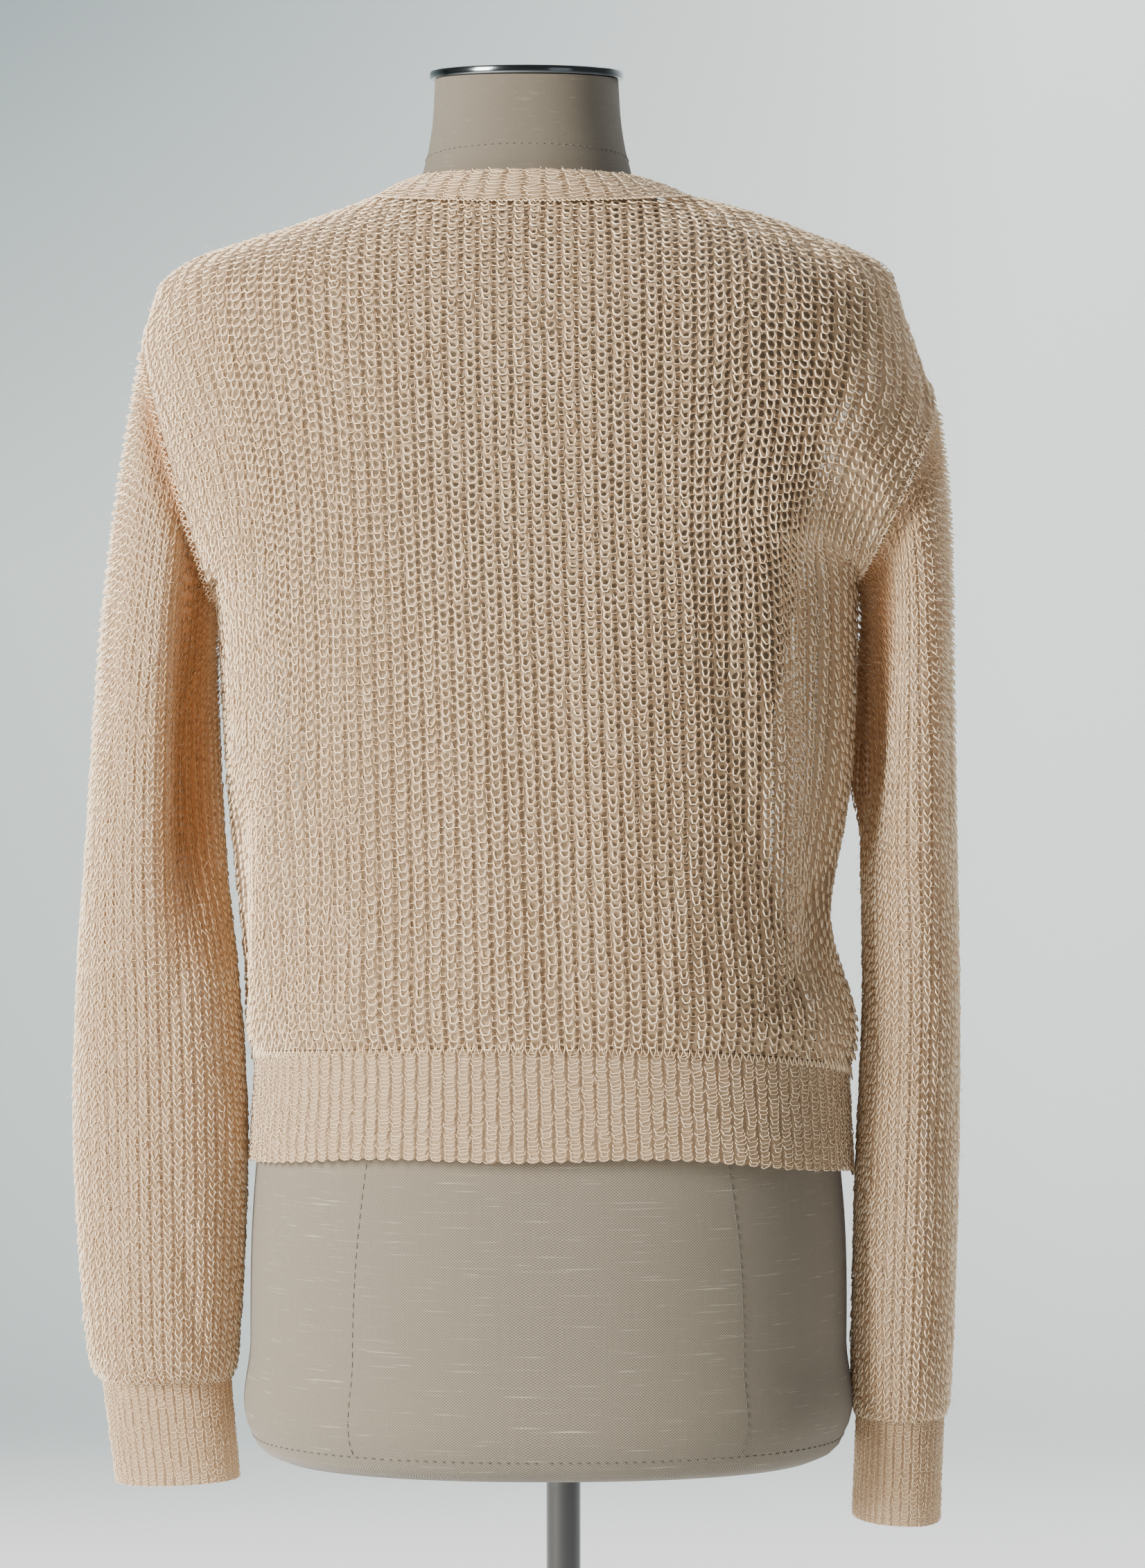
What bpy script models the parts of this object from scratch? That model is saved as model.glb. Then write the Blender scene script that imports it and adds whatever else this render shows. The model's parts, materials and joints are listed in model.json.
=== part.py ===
"""A knitted pullover on a limbless dress form.

Metres, +Z up, origin at the middle of the stand's underside. The back of the pullover faces -Y and
the wearer's right is +X. The pullover is made of the pieces a knitter sews together: a back and a
front panel, two sleeve tubes, cuffs, a hem rib in two halves and a neckband. Every piece is a thin
wall: its outside carries the knitted ribs, its inside is plain.
"""

import math

import bmesh
import bpy
import numpy as np

MM = 0.001

# Seams and walls
SEAM_GAP = 0.4 * MM
NECK_GAP = 0.5 * MM
KNIT_WALL = 2.8 * MM
RIB_HEIGHT = 1.1 * MM
BAND_WALL = 1.7 * MM
BAND_RIB_HEIGHT = 1.0 * MM

# Knitting: ribs across each piece, two points to a rib. The plain inside has a point under every
# fourth of them, and under every second in a panel's fine columns: at its armholes and neck corners
PANEL_RIBS = 60
HEM_RIBS = 64
SLEEVE_RIBS = 50
CUFF_RIBS = 36
INNER_STEP = 4
FINE_STEP = 2
FINE_COLUMNS = ((0, 8), (28, 38), (84, 92), (112, 120))

# Half of a panel's knitted width, along the cloth
PANEL_HALF_WIDTH = 238 * MM

# Stand and form
BASE_RADIUS = 150 * MM
BASE_HEIGHT = 12 * MM
BOSS_RADIUS = 22 * MM
BOSS_HEIGHT = 22 * MM
POLE_RADIUS = 9.6 * MM
FORM_BOTTOM = 234.7 * MM
FORM_TOP = 997.5 * MM
CAP_RADIUS = 53.5 * MM
CAP_HEIGHT = 4.6 * MM

# Exponents of the rounded-oval cross-sections
FORM_ROUNDNESS = 2.25
BODY_ROUNDNESS = 2.3
SLEEVE_ROUNDNESS = 2.2


def table(columns, *rows):
    """Named columns of millimetre values, as arrays in metres."""
    return dict(zip(columns.split(), np.array(rows, dtype=float).T * MM))


# The dress form: half width, and how far back and front reach from its middle
FORM = table(
    "height half_width back front",
    (234.7, 150.0, 100.0, 91.0),
    (238.5, 158.5, 108.0, 98.5),
    (247.0, 164.5, 114.0, 104.0),
    (300.0, 166.0, 116.5, 106.0),
    (380.0, 164.0, 115.5, 105.0),
    (450.0, 155.0, 106.0, 100.0),
    (510.0, 139.0, 93.0, 93.0),
    (580.0, 124.0, 82.0, 88.0),
    (640.0, 130.0, 87.0, 98.0),
    (700.0, 143.0, 97.0, 118.0),
    (750.0, 151.0, 106.0, 125.0),
    (800.0, 164.0, 111.5, 116.0),
    (840.0, 181.0, 110.5, 98.0),
    (865.0, 193.0, 105.0, 84.0),
    (880.0, 196.5, 100.0, 77.0),
    (888.0, 188.0, 94.0, 70.5),
    (896.0, 171.0, 88.5, 66.5),
    (908.0, 137.0, 80.0, 61.5),
    (920.0, 101.0, 71.0, 57.5),
    (930.0, 76.0, 65.0, 54.0),
    (939.0, 61.5, 59.5, 52.0),
    (951.0, 56.5, 57.0, 51.0),
    (970.0, 52.6, 53.6, 49.8),
    (997.5, 50.6, 52.0, 49.0),
)

# The form leans a little to its left: x of its middle
LEAN = table(
    "height middle",
    (234.7, -8.5),
    (400.0, -8.5),
    (560.0, -12.0),
    (720.0, -16.5),
    (860.0, -19.3),
    (1000.0, -20.3),
)

# The pullover's cross-sections: its left and right edges as seen from behind, and its depths
BODY = table(
    "height left right back front",
    (385.0, -174.0, 161.0, 120.5, 110.5),
    (420.0, -172.5, 159.0, 118.0, 108.5),
    (450.0, -170.5, 157.5, 115.5, 107.5),
    (475.0, -170.5, 155.5, 115.5, 108.5),
    (505.0, -172.0, 151.5, 117.0, 111.0),
    (532.0, -177.0, 146.0, 118.5, 114.5),
    (562.0, -182.0, 152.5, 119.5, 118.5),
    (592.0, -184.5, 157.0, 120.5, 122.5),
    (645.0, -186.5, 160.5, 121.5, 129.0),
    (697.0, -190.0, 162.0, 122.0, 133.5),
    (722.0, -194.0, 162.9, 121.8, 134.5),
    (750.0, -203.0, 172.0, 121.3, 133.5),
    (800.0, -221.0, 203.0, 119.5, 125.0),
    (840.0, -232.0, 197.0, 116.5, 105.5),
    (865.0, -227.5, 188.8, 110.5, 90.5),
    (880.0, -224.2, 184.8, 105.5, 82.5),
    (887.5, -220.5, 182.8, 102.0, 78.5),
    (893.0, -213.5, 180.0, 99.0, 76.5),
    (898.0, -204.5, 173.5, 96.3, 74.8),
    (904.0, -187.5, 156.5, 92.5, 72.5),
    (912.0, -161.5, 137.0, 87.0, 69.5),
    (920.0, -137.0, 117.0, 81.0, 66.5),
    (927.0, -119.0, 93.0, 76.0, 63.8),
    (933.5, -101.0, 66.5, 71.0, 61.3),
    (941.3, -84.5, 45.5, 66.0, 58.8),
    (950.0, -81.0, 41.5, 63.0, 57.0),
)

# How far the cloth bags out over the hem rib, by its height above the hem seam
BLOUSE = table(
    "height swell",
    (0.0, 0.5),
    (9.0, 5.0),
    (24.0, 7.0),
    (50.0, 4.5),
    (90.0, 1.0),
    (130.0, 0.0),
    (600.0, 0.0),
)

# Armholes: their top and underarm corners as seen from behind, and their half depth
ARMHOLE = {
    -1: {"top": (-232.2 * MM, 846.8 * MM), "under": (-191.3 * MM, 705.0 * MM), "depth": 50 * MM},
    +1: {"top": (205.6 * MM, 815.6 * MM), "under": (162.9 * MM, 721.3 * MM), "depth": 74 * MM},
}

# Hem seam and hem edge heights: at the left and right side seams, and mid back and mid front
HEM = {
    "seam": {"left": 459 * MM, "right": 448 * MM, "back": 472 * MM, "front": 455 * MM},
    "edge": {"left": 399 * MM, "right": 390 * MM, "back": 411 * MM, "front": 394 * MM},
}

# Neckline seam and neckband edge heights: at the shoulder seams, mid back and mid front
NECK = {
    "seam": {"side": 933.5 * MM, "back": 927.0 * MM, "front": 893.0 * MM},
    "edge": {"side": 941.3 * MM, "back": 945.5 * MM, "front": 912.0 * MM},
}

# Rows of a panel: shares of the way from the hem seam to the underarm, and from there to the top
LOWER_ROWS = (0.0, 0.05, 0.14, 0.32, 0.62)
UPPER_ROWS = (0.0, 0.17, 0.35, 0.52, 0.66, 0.78, 0.89, 1.0)

# How many times the rows from this one up are evened out
EVENING = 1
EVEN_FROM = 8

# Folds of the body. "across" is along the cloth from mid back or mid front, "height" is up
BODY_FOLDS = {
    -1: table(
        "across_top height_top across_low height_low width rise",
        (166.0, 760.0, 172.0, 545.0, 24.0, -9.0),
        (130.0, 770.0, 142.0, 540.0, 16.0, 3.0),
        (196.0, 560.0, 132.0, 492.0, 18.0, -4.5),
        (-148.0, 640.0, -170.0, 500.0, 17.0, 5.0),
        (-198.0, 600.0, -206.0, 488.0, 20.0, -5.5),
        (-70.0, 720.0, -62.0, 500.0, 24.0, -3.0),
        (48.0, 690.0, 34.0, 490.0, 26.0, 2.5),
    ),
    +1: table(
        "across_top height_top across_low height_low width rise",
        (62.0, 700.0, 78.0, 500.0, 20.0, -7.0),
        (-58.0, 700.0, -84.0, 495.0, 22.0, -6.0),
        (120.0, 690.0, 150.0, 500.0, 17.0, 5.0),
        (-124.0, 690.0, -150.0, 510.0, 18.0, 4.0),
        (0.0, 650.0, 6.0, 480.0, 26.0, 3.0),
    ),
}

# Sleeves: the outer and inner edge points of each ring as seen from behind, and its half depth
SLEEVE = {
    -1: table(
        "outer_x outer_z inner_x inner_z depth",
        (-232.2, 846.8, -191.3, 705.0, 50.0),
        (-240.5, 801.0, -193.5, 684.0, 50.0),
        (-249.0, 745.0, -193.5, 662.0, 49.5),
        (-257.5, 665.0, -192.5, 628.0, 48.0),
        (-264.0, 575.0, -189.5, 568.0, 46.0),
        (-269.5, 500.0, -181.5, 500.0, 45.0),
        (-271.5, 405.0, -176.8, 405.0, 44.0),
        (-264.5, 297.0, -182.0, 297.0, 40.0),
        (-257.0, 279.0, -186.0, 279.0, 27.0),
    ),
    +1: table(
        "outer_x outer_z inner_x inner_z depth",
        (205.6, 815.6, 162.9, 721.3, 74.0),
        (210.5, 779.0, 167.0, 702.0, 71.0),
        (213.0, 735.0, 168.0, 677.0, 67.0),
        (214.3, 674.0, 167.5, 640.0, 63.0),
        (216.5, 589.0, 166.0, 582.0, 59.0),
        (218.7, 489.0, 167.5, 489.0, 57.0),
        (218.3, 385.0, 163.5, 385.0, 55.0),
        (214.8, 275.0, 161.5, 275.0, 47.0),
        (211.8, 258.5, 163.8, 258.5, 37.0),
    ),
}

# Folds of the sleeves. "turn" runs from the outer edge (0) over the back (0.25) to the body side (0.5)
SLEEVE_FOLDS = {
    -1: (
        {"turn_top": 0.37, "turn_low": 0.35, "top": 0.790, "low": 0.560, "width": 0.072, "rise": -0.013},
        {"turn_top": 0.26, "turn_low": 0.24, "top": 0.760, "low": 0.540, "width": 0.035, "rise": 0.003},
        {"turn_top": 0.66, "turn_low": 0.62, "top": 0.740, "low": 0.520, "width": 0.050, "rise": -0.008},
        {"turn_top": 0.86, "turn_low": 0.80, "top": 0.560, "low": 0.330, "width": 0.045, "rise": -0.004},
        {"turn_top": 0.20, "turn_low": 0.13, "top": 0.480, "low": 0.300, "width": 0.050, "rise": -0.003},
    ),
    +1: (
        {"turn_top": 0.31, "turn_low": 0.39, "top": 0.770, "low": 0.600, "width": 0.062, "rise": -0.009},
        {"turn_top": 0.18, "turn_low": 0.24, "top": 0.740, "low": 0.560, "width": 0.040, "rise": 0.003},
        {"turn_top": 0.66, "turn_low": 0.62, "top": 0.740, "low": 0.520, "width": 0.050, "rise": -0.008},
        {"turn_top": 0.84, "turn_low": 0.80, "top": 0.560, "low": 0.340, "width": 0.045, "rise": -0.004},
    ),
}

# Cuffs: top and bottom ring, as for the sleeves
CUFF = {
    -1: table(
        "outer_x outer_z inner_x inner_z depth",
        (-256.6, 278.5, -186.4, 278.5, 26.6),
        (-249.0, 219.0, -181.5, 221.5, 25.5),
    ),
    +1: table(
        "outer_x outer_z inner_x inner_z depth",
        (211.4, 258.0, 164.2, 258.0, 36.6),
        (209.4, 198.0, 162.0, 200.5, 35.0),
    ),
}


def follow(rows, column, at):
    """A smooth curve through one column of a table, read at some heights."""
    known = rows["height"]
    values = rows[column]
    slopes = np.gradient(values, known)
    at = np.clip(at, known[0], known[-1])
    i = np.clip(np.searchsorted(known, at) - 1, 0, len(known) - 2)
    step = known[i + 1] - known[i]
    t = (at - known[i]) / step
    rise = t * t * (3 - 2 * t)
    return (
        values[i] * (1 - rise)
        + values[i + 1] * rise
        + step * slopes[i] * t * (1 - t) ** 2
        - step * slopes[i + 1] * t * t * (1 - t)
    )


def ease(low, high, value):
    """0 below low, 1 above high, and a smooth step between."""
    t = np.clip((value - low) / (high - low), 0.0, 1.0)
    return t * t * (3 - 2 * t)


def unit(vectors):
    return vectors / np.maximum(np.linalg.norm(vectors, axis=-1, keepdims=True), 1e-12)


# The body's surface

QUARTER = np.linspace(0.0, math.pi / 2, 129)


def body_edge(height, side, facing):
    """Half width of the section, and its end angle: less than a quarter where the armhole cuts it."""
    middle = follow(LEAN, "middle", height)
    depth = follow(BODY, "back" if facing < 0 else "front", height)
    half = side * (follow(BODY, "right" if side > 0 else "left", height) - middle)
    hole = ARMHOLE[side]
    (top_x, top_z), (under_x, under_z) = hole["top"], hole["under"]
    end = math.pi / 2
    if under_z < height < top_z:
        lift = (height - (top_z + under_z) / 2) / ((top_z - under_z) / 2)
        x = side * ((top_x + under_x) / 2 + lift * (top_x - under_x) / 2 - middle)
        y = min(hole["depth"] * math.sqrt(max(1 - lift * lift, 0.0)), 0.93 * depth)
        share = (y / depth) ** BODY_ROUNDNESS
        half = x / (1 - share) ** (1 / BODY_ROUNDNESS)
        end = math.acos(math.sqrt(share))
    elif height <= under_z:
        blend = ease(under_z - 60 * MM, under_z, height)
        half = half + blend * (side * (under_x - middle) - half)
    else:
        blend = 1 - ease(top_z, top_z + 25 * MM, height)
        half = half + blend * (side * (top_x - middle) - half)
    return middle, half, depth, end


def section(height, side, facing):
    """A quarter of the cross-section from mid back or front to the edge, and the length along it."""
    middle, half, depth, end = body_edge(height, side, facing)
    angle = QUARTER * (end / QUARTER[-1])
    power = 2 / BODY_ROUNDNESS
    across = half * np.sin(angle) ** power
    deep = depth * np.cos(angle) ** power
    deep[-1] = depth * math.cos(end) ** power if end < QUARTER[-1] else 0.0
    along = np.concatenate([[0.0], np.cumsum(np.hypot(np.diff(across), np.diff(deep)))])
    return middle, across, deep, along


def section_length(height, side, facing):
    return section(height, side, facing)[3][-1]


def spread(share, length):
    """Where a column lies along a section: even near the middle, fitted to the edge at the sides."""
    return PANEL_HALF_WIDTH * share + (length - PANEL_HALF_WIDTH) * share**3


def sew_line(share, facing, ends, side):
    """Height of a seam that dips or rises from the sides to mid back or mid front."""
    middle = ends["back" if facing < 0 else "front"]
    edge = ends["side"] if "side" in ends else ends["right" if side > 0 else "left"]
    return middle + (edge - middle) * share * share


class Panel:
    """The back or the front: columns of knitting that run from the hem seam to the top seams."""

    def __init__(self, facing):
        self.facing = facing
        self.tops = {side: self.top_heights(side) for side in (-1, 1)}

    def top_heights(self, side):
        """The sections above the armhole, from its top up to the neck: their lengths and heights."""
        heights = np.linspace(ARMHOLE[side]["top"][1], NECK["seam"]["side"], 60)
        lengths = np.array([section_length(z, side, self.facing) for z in heights])
        return heights, np.minimum.accumulate(lengths)

    def column_top(self, share, side):
        """How high a column goes, and how far along the cloth it ends."""
        heights, lengths = self.tops[side]
        along = spread(share, lengths[0])
        if along >= lengths[-1]:
            return float(np.interp(-along, -lengths, heights)), along
        at_neck = along / lengths[-1]
        return sew_line(at_neck, self.facing, NECK["seam"], side), along

    def point(self, share, side, height):
        """The point of a column at a height."""
        middle, across, deep, along = section(height, side, self.facing)
        armhole_top = ARMHOLE[side]["top"][1]
        target = spread(share, along[-1])
        if height > armhole_top:
            target = min(self.column_top(share, side)[1], along[-1])
        x = middle + side * np.interp(target, along, across)
        y = self.facing * np.interp(target, along, deep)
        return np.array([x, y, height]), target

    def rows(self, share, side):
        """The heights of a column's rows."""
        bottom = sew_line(share, self.facing, HEM["seam"], side) + SEAM_GAP / 2
        top = self.column_top(share, side)[0]
        left, right = (ARMHOLE[s]["under"][1] for s in (-1, 1))
        under = (left + right) / 2 + side * share * (right - left) / 2
        lower = bottom + (under - bottom) * np.array(LOWER_ROWS)
        climb = under + (top - under) * (1 - np.cos(np.linspace(0, math.pi, 41))) / 2
        path = np.array([self.point(share, side, z)[0] for z in climb])
        walked = np.concatenate([[0.0], np.cumsum(np.linalg.norm(np.diff(path, axis=0), axis=1))])
        upper = np.interp(np.array(UPPER_ROWS) * walked[-1], walked, climb)
        return np.concatenate([lower, upper])

    def surface(self, shares):
        """Grids of points, cloth positions and outward directions, row by column."""
        sides = np.where(shares < 0, -1, 1)
        heights = np.array([self.rows(abs(s), d) for s, d in zip(shares, sides)]).T
        across = np.array([
            [d * self.point(abs(s), d, z)[1] for s, d, z in zip(shares, sides, row)] for row in heights
        ])
        heights, across = even_out(heights), even_out(across)
        points, normals = np.zeros((*across.shape, 3)), np.zeros((*across.shape, 3))
        for place in np.ndindex(across.shape):
            side = sides[place[1]]
            points[place] = self.at(side * across[place], side, heights[place])
            normals[place] = self.outward(side * across[place], side, heights[place])
            near = ease(0.94, 1.0, abs(shares[place[1]]))
            if near:
                rim = self.into_armhole(points[place], normals[place], side)
                normals[place] = unit(normals[place] * (1 - near) + rim * near)
        return points, across, normals

    def outward(self, along, side, height):
        """Outward direction of the plain section surface at a length along it."""
        step = 1.5 * MM
        length = section_length(height, side, self.facing)
        along = min(along, length)
        share = along / length
        low = self.at(along - step, side, height)
        high = self.at(min(along + step, length), side, height)
        above = self.at(share * section_length(height + step, side, self.facing), side, height + step)
        below = self.at(share * section_length(height - step, side, self.facing), side, height - step)
        normal = unit(np.cross(high - low, above - below))
        here = self.at(along, side, height)
        if np.dot(normal, here - np.array([follow(LEAN, "middle", height), 0, height])) < 0:
            normal = -normal
        if along > length - 0.01 * MM and abs(here[1]) < MM:
            normal = unit(normal * np.array([1, 0, 1]))
        return normal

    def into_armhole(self, here, normal, side):
        """Turns the outward direction at a panel's side edge into the plane of its armhole."""
        hole = ARMHOLE[side]
        top, under = (np.array([x, 0.0, z]) for x, z in (hole["top"], hole["under"]))
        if not under[2] < here[2] < top[2] + MM:
            return normal
        arm = (top - under) / 2
        lift = np.clip(np.dot(here - (top + under) / 2, arm) / np.dot(arm, arm), -1, 1)
        flat = lift * unit(arm) / np.linalg.norm(arm)
        rim = unit(flat + np.array([0, self.facing * math.sqrt(1 - lift**2) / hole["depth"], 0]))
        turned = ease(-1.0, -0.7, lift)
        return unit(normal * (1 - turned) + rim * turned)

    def at(self, along_cloth, side, height):
        """The point at a length along a section, past mid back too."""
        middle, across, deep, along = section(height, side, self.facing)
        reach = abs(along_cloth)
        x = middle + side * math.copysign(1.0, along_cloth) * np.interp(reach, along, across)
        return np.array([x, self.facing * np.interp(reach, along, deep), height])


def swell(across, height, shares, facing):
    """How far the folds and the bagging over the hem move the cloth outwards."""
    folds = BODY_FOLDS[facing]
    total = np.zeros_like(height)
    for k in range(len(folds["rise"])):
        run = (folds["height_top"][k] - height) / (folds["height_top"][k] - folds["height_low"][k])
        centre = folds["across_top"][k] + run * (folds["across_low"][k] - folds["across_top"][k])
        ends = ease(-0.25, 0.15, run) * (1 - ease(0.85, 1.25, run))
        total += folds["rise"][k] * np.exp(-(((across - centre) / folds["width"][k]) ** 2)) * ends
    side = np.where(shares < 0, -1, 1)
    seam = np.array([sew_line(abs(s), facing, HEM["seam"], d) for s, d in zip(shares, side)])
    total += follow(BLOUSE, "swell", np.maximum(height - seam, 0.0))
    return total


def even_out(grid):
    """Smooths a panel's rows above the underarm, where the armholes bend its columns."""
    grid = grid.copy()
    rows = slice(EVEN_FROM, -1)
    for _ in range(EVENING):
        above, below = grid[EVEN_FROM + 1:, 1:-1], grid[EVEN_FROM - 1:-2, 1:-1]
        grid[rows, 1:-1] = (above + below + grid[rows, :-2] + grid[rows, 2:]) / 4
    return grid


# Walls

def strip(bm, outer, inner, places):
    """Triangles between two edges. Places says which outer points the inner ones stand under."""
    i = j = 0
    while i < places[-1] or j < len(places) - 1:
        a, b = outer[i % len(outer)], inner[j % len(inner)]
        if j == len(places) - 1 or 2 * i < places[j] + places[j + 1]:
            bm.faces.new((a, b, outer[(i + 1) % len(outer)]))
            i += 1
        else:
            bm.faces.new((a, b, inner[(j + 1) % len(inner)]))
            j += 1


def sheet(bm, grid, closed):
    """A skin of quads through a grid of points, row by column."""
    verts = [[bm.verts.new(p) for p in row] for row in grid]
    across = len(grid[0]) - (not closed)
    for low, high in zip(verts, verts[1:]):
        for i in range(across):
            j = (i + 1) % len(low)
            bm.faces.new((low[i], low[j], high[j], high[i]))
    return verts


def inner_places(count, fine=()):
    """The outer points that have an inner one."""
    places = set(range(0, count + 1, INNER_STEP))
    for start, end in fine:
        places.update(range(start, end + 1, FINE_STEP))
    return sorted(places)


def wall(name, outer, inner, places, closed, material):
    """A closed cloth wall from its outer and its inner grid, of which it takes some columns."""
    bm = bmesh.new()
    skin = sheet(bm, outer, closed)
    lining = sheet(bm, inner[:, places[:-1] if closed else places], closed)
    for row in (0, -1):
        strip(bm, skin[row], lining[row], places)
    if not closed:
        for side in (0, -1):
            for k in range(len(skin) - 1):
                bm.faces.new((skin[k][side], skin[k + 1][side], lining[k + 1][side], lining[k][side]))
    return add_object(name, bm, material)


def add_object(name, bm, material):
    """Triangulates, turns the faces outwards and links the mesh as one named object."""
    bmesh.ops.triangulate(bm, faces=bm.faces[:])
    bmesh.ops.recalc_face_normals(bm, faces=bm.faces[:])
    if bm.calc_volume(signed=True) < 0:
        bmesh.ops.reverse_faces(bm, faces=bm.faces[:])
    mesh = bpy.data.meshes.new(name)
    bm.to_mesh(mesh)
    bm.free()
    mesh.materials.append(material)
    mesh.shade_smooth()
    mesh.set_sharp_from_angle(angle=math.radians(40))
    piece = bpy.data.objects.new(name, mesh)
    bpy.context.scene.collection.objects.link(piece)
    return piece


def plain_material(name, colour, roughness, metallic=0.0):
    """A Principled finish from an sRGB colour."""
    material = bpy.data.materials.new(name)
    material.use_nodes = True
    shader = material.node_tree.nodes["Principled BSDF"]
    linear = [c / 12.92 if c <= 0.04045 else ((c + 0.055) / 1.055) ** 2.4 for c in colour]
    shader.inputs["Base Color"].default_value = (*linear, 1.0)
    shader.inputs["Roughness"].default_value = roughness
    shader.inputs["Metallic"].default_value = metallic
    return material


# The pullover

def keep_apart(points, facing):
    """Holds a back or front piece half a seam gap behind or before the side and shoulder seams."""
    points[..., 1] = facing * np.maximum(facing * points[..., 1], SEAM_GAP / 2)
    return points


def column_room(points):
    """How far apart the columns of a grid run."""
    up = unit(np.gradient(points, axis=0))
    across = np.gradient(points, axis=1)
    return np.linalg.norm(across - np.sum(across * up, axis=-1, keepdims=True) * up, axis=-1)


def make_panel(name, facing, material):
    panel = Panel(facing)
    shares = np.linspace(-1, 1, 2 * PANEL_RIBS + 1)
    points, across, normals = panel.surface(shares)
    hidden = ease(0.90, 1.0, np.abs(shares)) * np.ones_like(across)
    outwards = swell(across, points[..., 2], shares, facing) * (1 - 0.8 * hidden)
    lift = np.zeros_like(across)
    lift[:, 1::2] = (RIB_HEIGHT * np.minimum(column_room(points) / (3 * MM), 1))[:, 1::2]
    under = np.where(shares < 0, ARMHOLE[-1]["under"][1], ARMHOLE[1]["under"][1])
    lift *= 1 - hidden * ease(-50 * MM, -20 * MM, points[..., 2] - under)
    skin = points + normals * (outwards + lift)[..., None]
    lining = points + normals * (outwards - KNIT_WALL)[..., None]
    places = inner_places(2 * PANEL_RIBS, FINE_COLUMNS)
    return wall(name, keep_apart(skin, facing), keep_apart(lining, facing), places, False, material)


def make_hem(name, facing, material):
    """Half of the hem rib, from side seam to side seam."""
    panel = Panel(facing)
    shares = np.linspace(-1, 1, 2 * HEM_RIBS + 1)
    skin, lining = [], []
    for ends, gap in ((HEM["edge"], 0.0), (HEM["seam"], -SEAM_GAP / 2)):
        outer_row, inner_row = [], []
        for k, signed in enumerate(shares):
            side = 1 if signed >= 0 else -1
            height = sew_line(abs(signed), facing, ends, side) + gap
            along = abs(signed) * section_length(height, side, facing)
            point = panel.at(along, side, height)
            normal = panel.outward(along, side, height)
            outer_row.append(point + normal * (BAND_RIB_HEIGHT * (k % 2) + 0.5 * MM))
            inner_row.append(point - normal * (BAND_WALL - 0.5 * MM))
        skin.append(outer_row)
        lining.append(inner_row)
    skin, lining = (keep_apart(np.array(rows), facing) for rows in (skin, lining))
    return wall(name, skin, lining, inner_places(2 * HEM_RIBS), False, material)


def make_neckband(name, material):
    """The ribbed band round the neck: one ring that leans in towards the form's neck."""
    seam, seam_out, edge, ribs = [], [], [], []
    for facing in (-1, 1):
        panel = Panel(facing)
        places = []
        for k, signed in enumerate(-facing * np.linspace(-1, 1, 2 * PANEL_RIBS + 1)):
            side = 1 if signed >= 0 else -1
            share = panel.column_top(abs(signed), side)[1] / section_length(NECK["seam"]["side"], side, facing)
            if share <= 1:
                places.append((share, side, k))
        if facing < 0:
            places = [(1.0, -1, 0)] + places + [(1.0, 1, 0)]
        for share, side, k in places:
            ribs.append(k)
            height = sew_line(share, facing, NECK["seam"], side) + NECK_GAP
            along = share * section_length(NECK["seam"]["side"], side, facing)
            seam.append(panel.at(along, side, height))
            seam_out.append(panel.outward(along, side, height))
            height = sew_line(share, facing, NECK["edge"], side)
            edge.append(panel.at(share * section_length(NECK["edge"]["side"], side, facing), side, height))
    seam, seam_out, edge, ribs = (np.array(rows) for rows in (seam, seam_out, edge, ribs))
    edge_out = unit(np.cross(np.roll(edge, -1, axis=0) - np.roll(edge, 1, axis=0), edge - seam))
    edge_out *= np.sign(np.sum(edge_out * (edge - edge.mean(axis=0)), axis=1, keepdims=True))
    lift = (BAND_RIB_HEIGHT * (ribs % 2))[:, None]
    skin = np.array([seam + seam_out * lift, edge + edge_out * lift])
    lining = np.array([seam - seam_out * BAND_WALL, edge - edge_out * BAND_WALL])
    places = [k for k in range(len(ribs)) if ribs[k] % 2 == 0] + [len(ribs)]
    return wall(name, skin, lining, places, True, material)


def tube_rings(rows, turns, roundness):
    """Rings of a tube from its table, and their outward directions, evenly spaced round each ring."""
    fine = np.linspace(0, 2 * math.pi, 481)
    rings, normals = [], []
    for k in range(len(rows["depth"])):
        power = 1.0 if roundness[k] == 2 else 2 / roundness[k]
        arm = np.array([rows["outer_x"][k] - rows["inner_x"][k], 0, rows["outer_z"][k] - rows["inner_z"][k]]) / 2
        centre = np.array([rows["outer_x"][k] + rows["inner_x"][k], 0, rows["outer_z"][k] + rows["inner_z"][k]]) / 2
        forward = np.array([0, -rows["depth"][k], 0])
        cosine = np.sign(np.cos(fine)) * np.abs(np.cos(fine)) ** power
        sine = np.sign(np.sin(fine)) * np.abs(np.sin(fine)) ** power
        ring = centre + cosine[:, None] * arm + sine[:, None] * forward
        along = np.concatenate([[0.0], np.cumsum(np.linalg.norm(np.diff(ring, axis=0), axis=1))])
        wanted = turns * along[-1]
        points = np.stack([np.interp(wanted, along, ring[:, axis]) for axis in range(3)], axis=1)
        spacing = along[-1] / 400
        ahead = np.stack([np.interp((wanted + spacing) % along[-1], along, ring[:, a]) for a in range(3)], axis=1)
        behind = np.stack([np.interp((wanted - spacing) % along[-1], along, ring[:, a]) for a in range(3)], axis=1)
        flat = np.cross(ahead - behind, np.cross(arm, forward))
        flat = unit(flat)
        outwards = np.sign(np.sum(flat * (points - centre), axis=1, keepdims=True))
        rings.append(points)
        normals.append(flat * outwards)
    return np.array(rings), np.array(normals)


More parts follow.
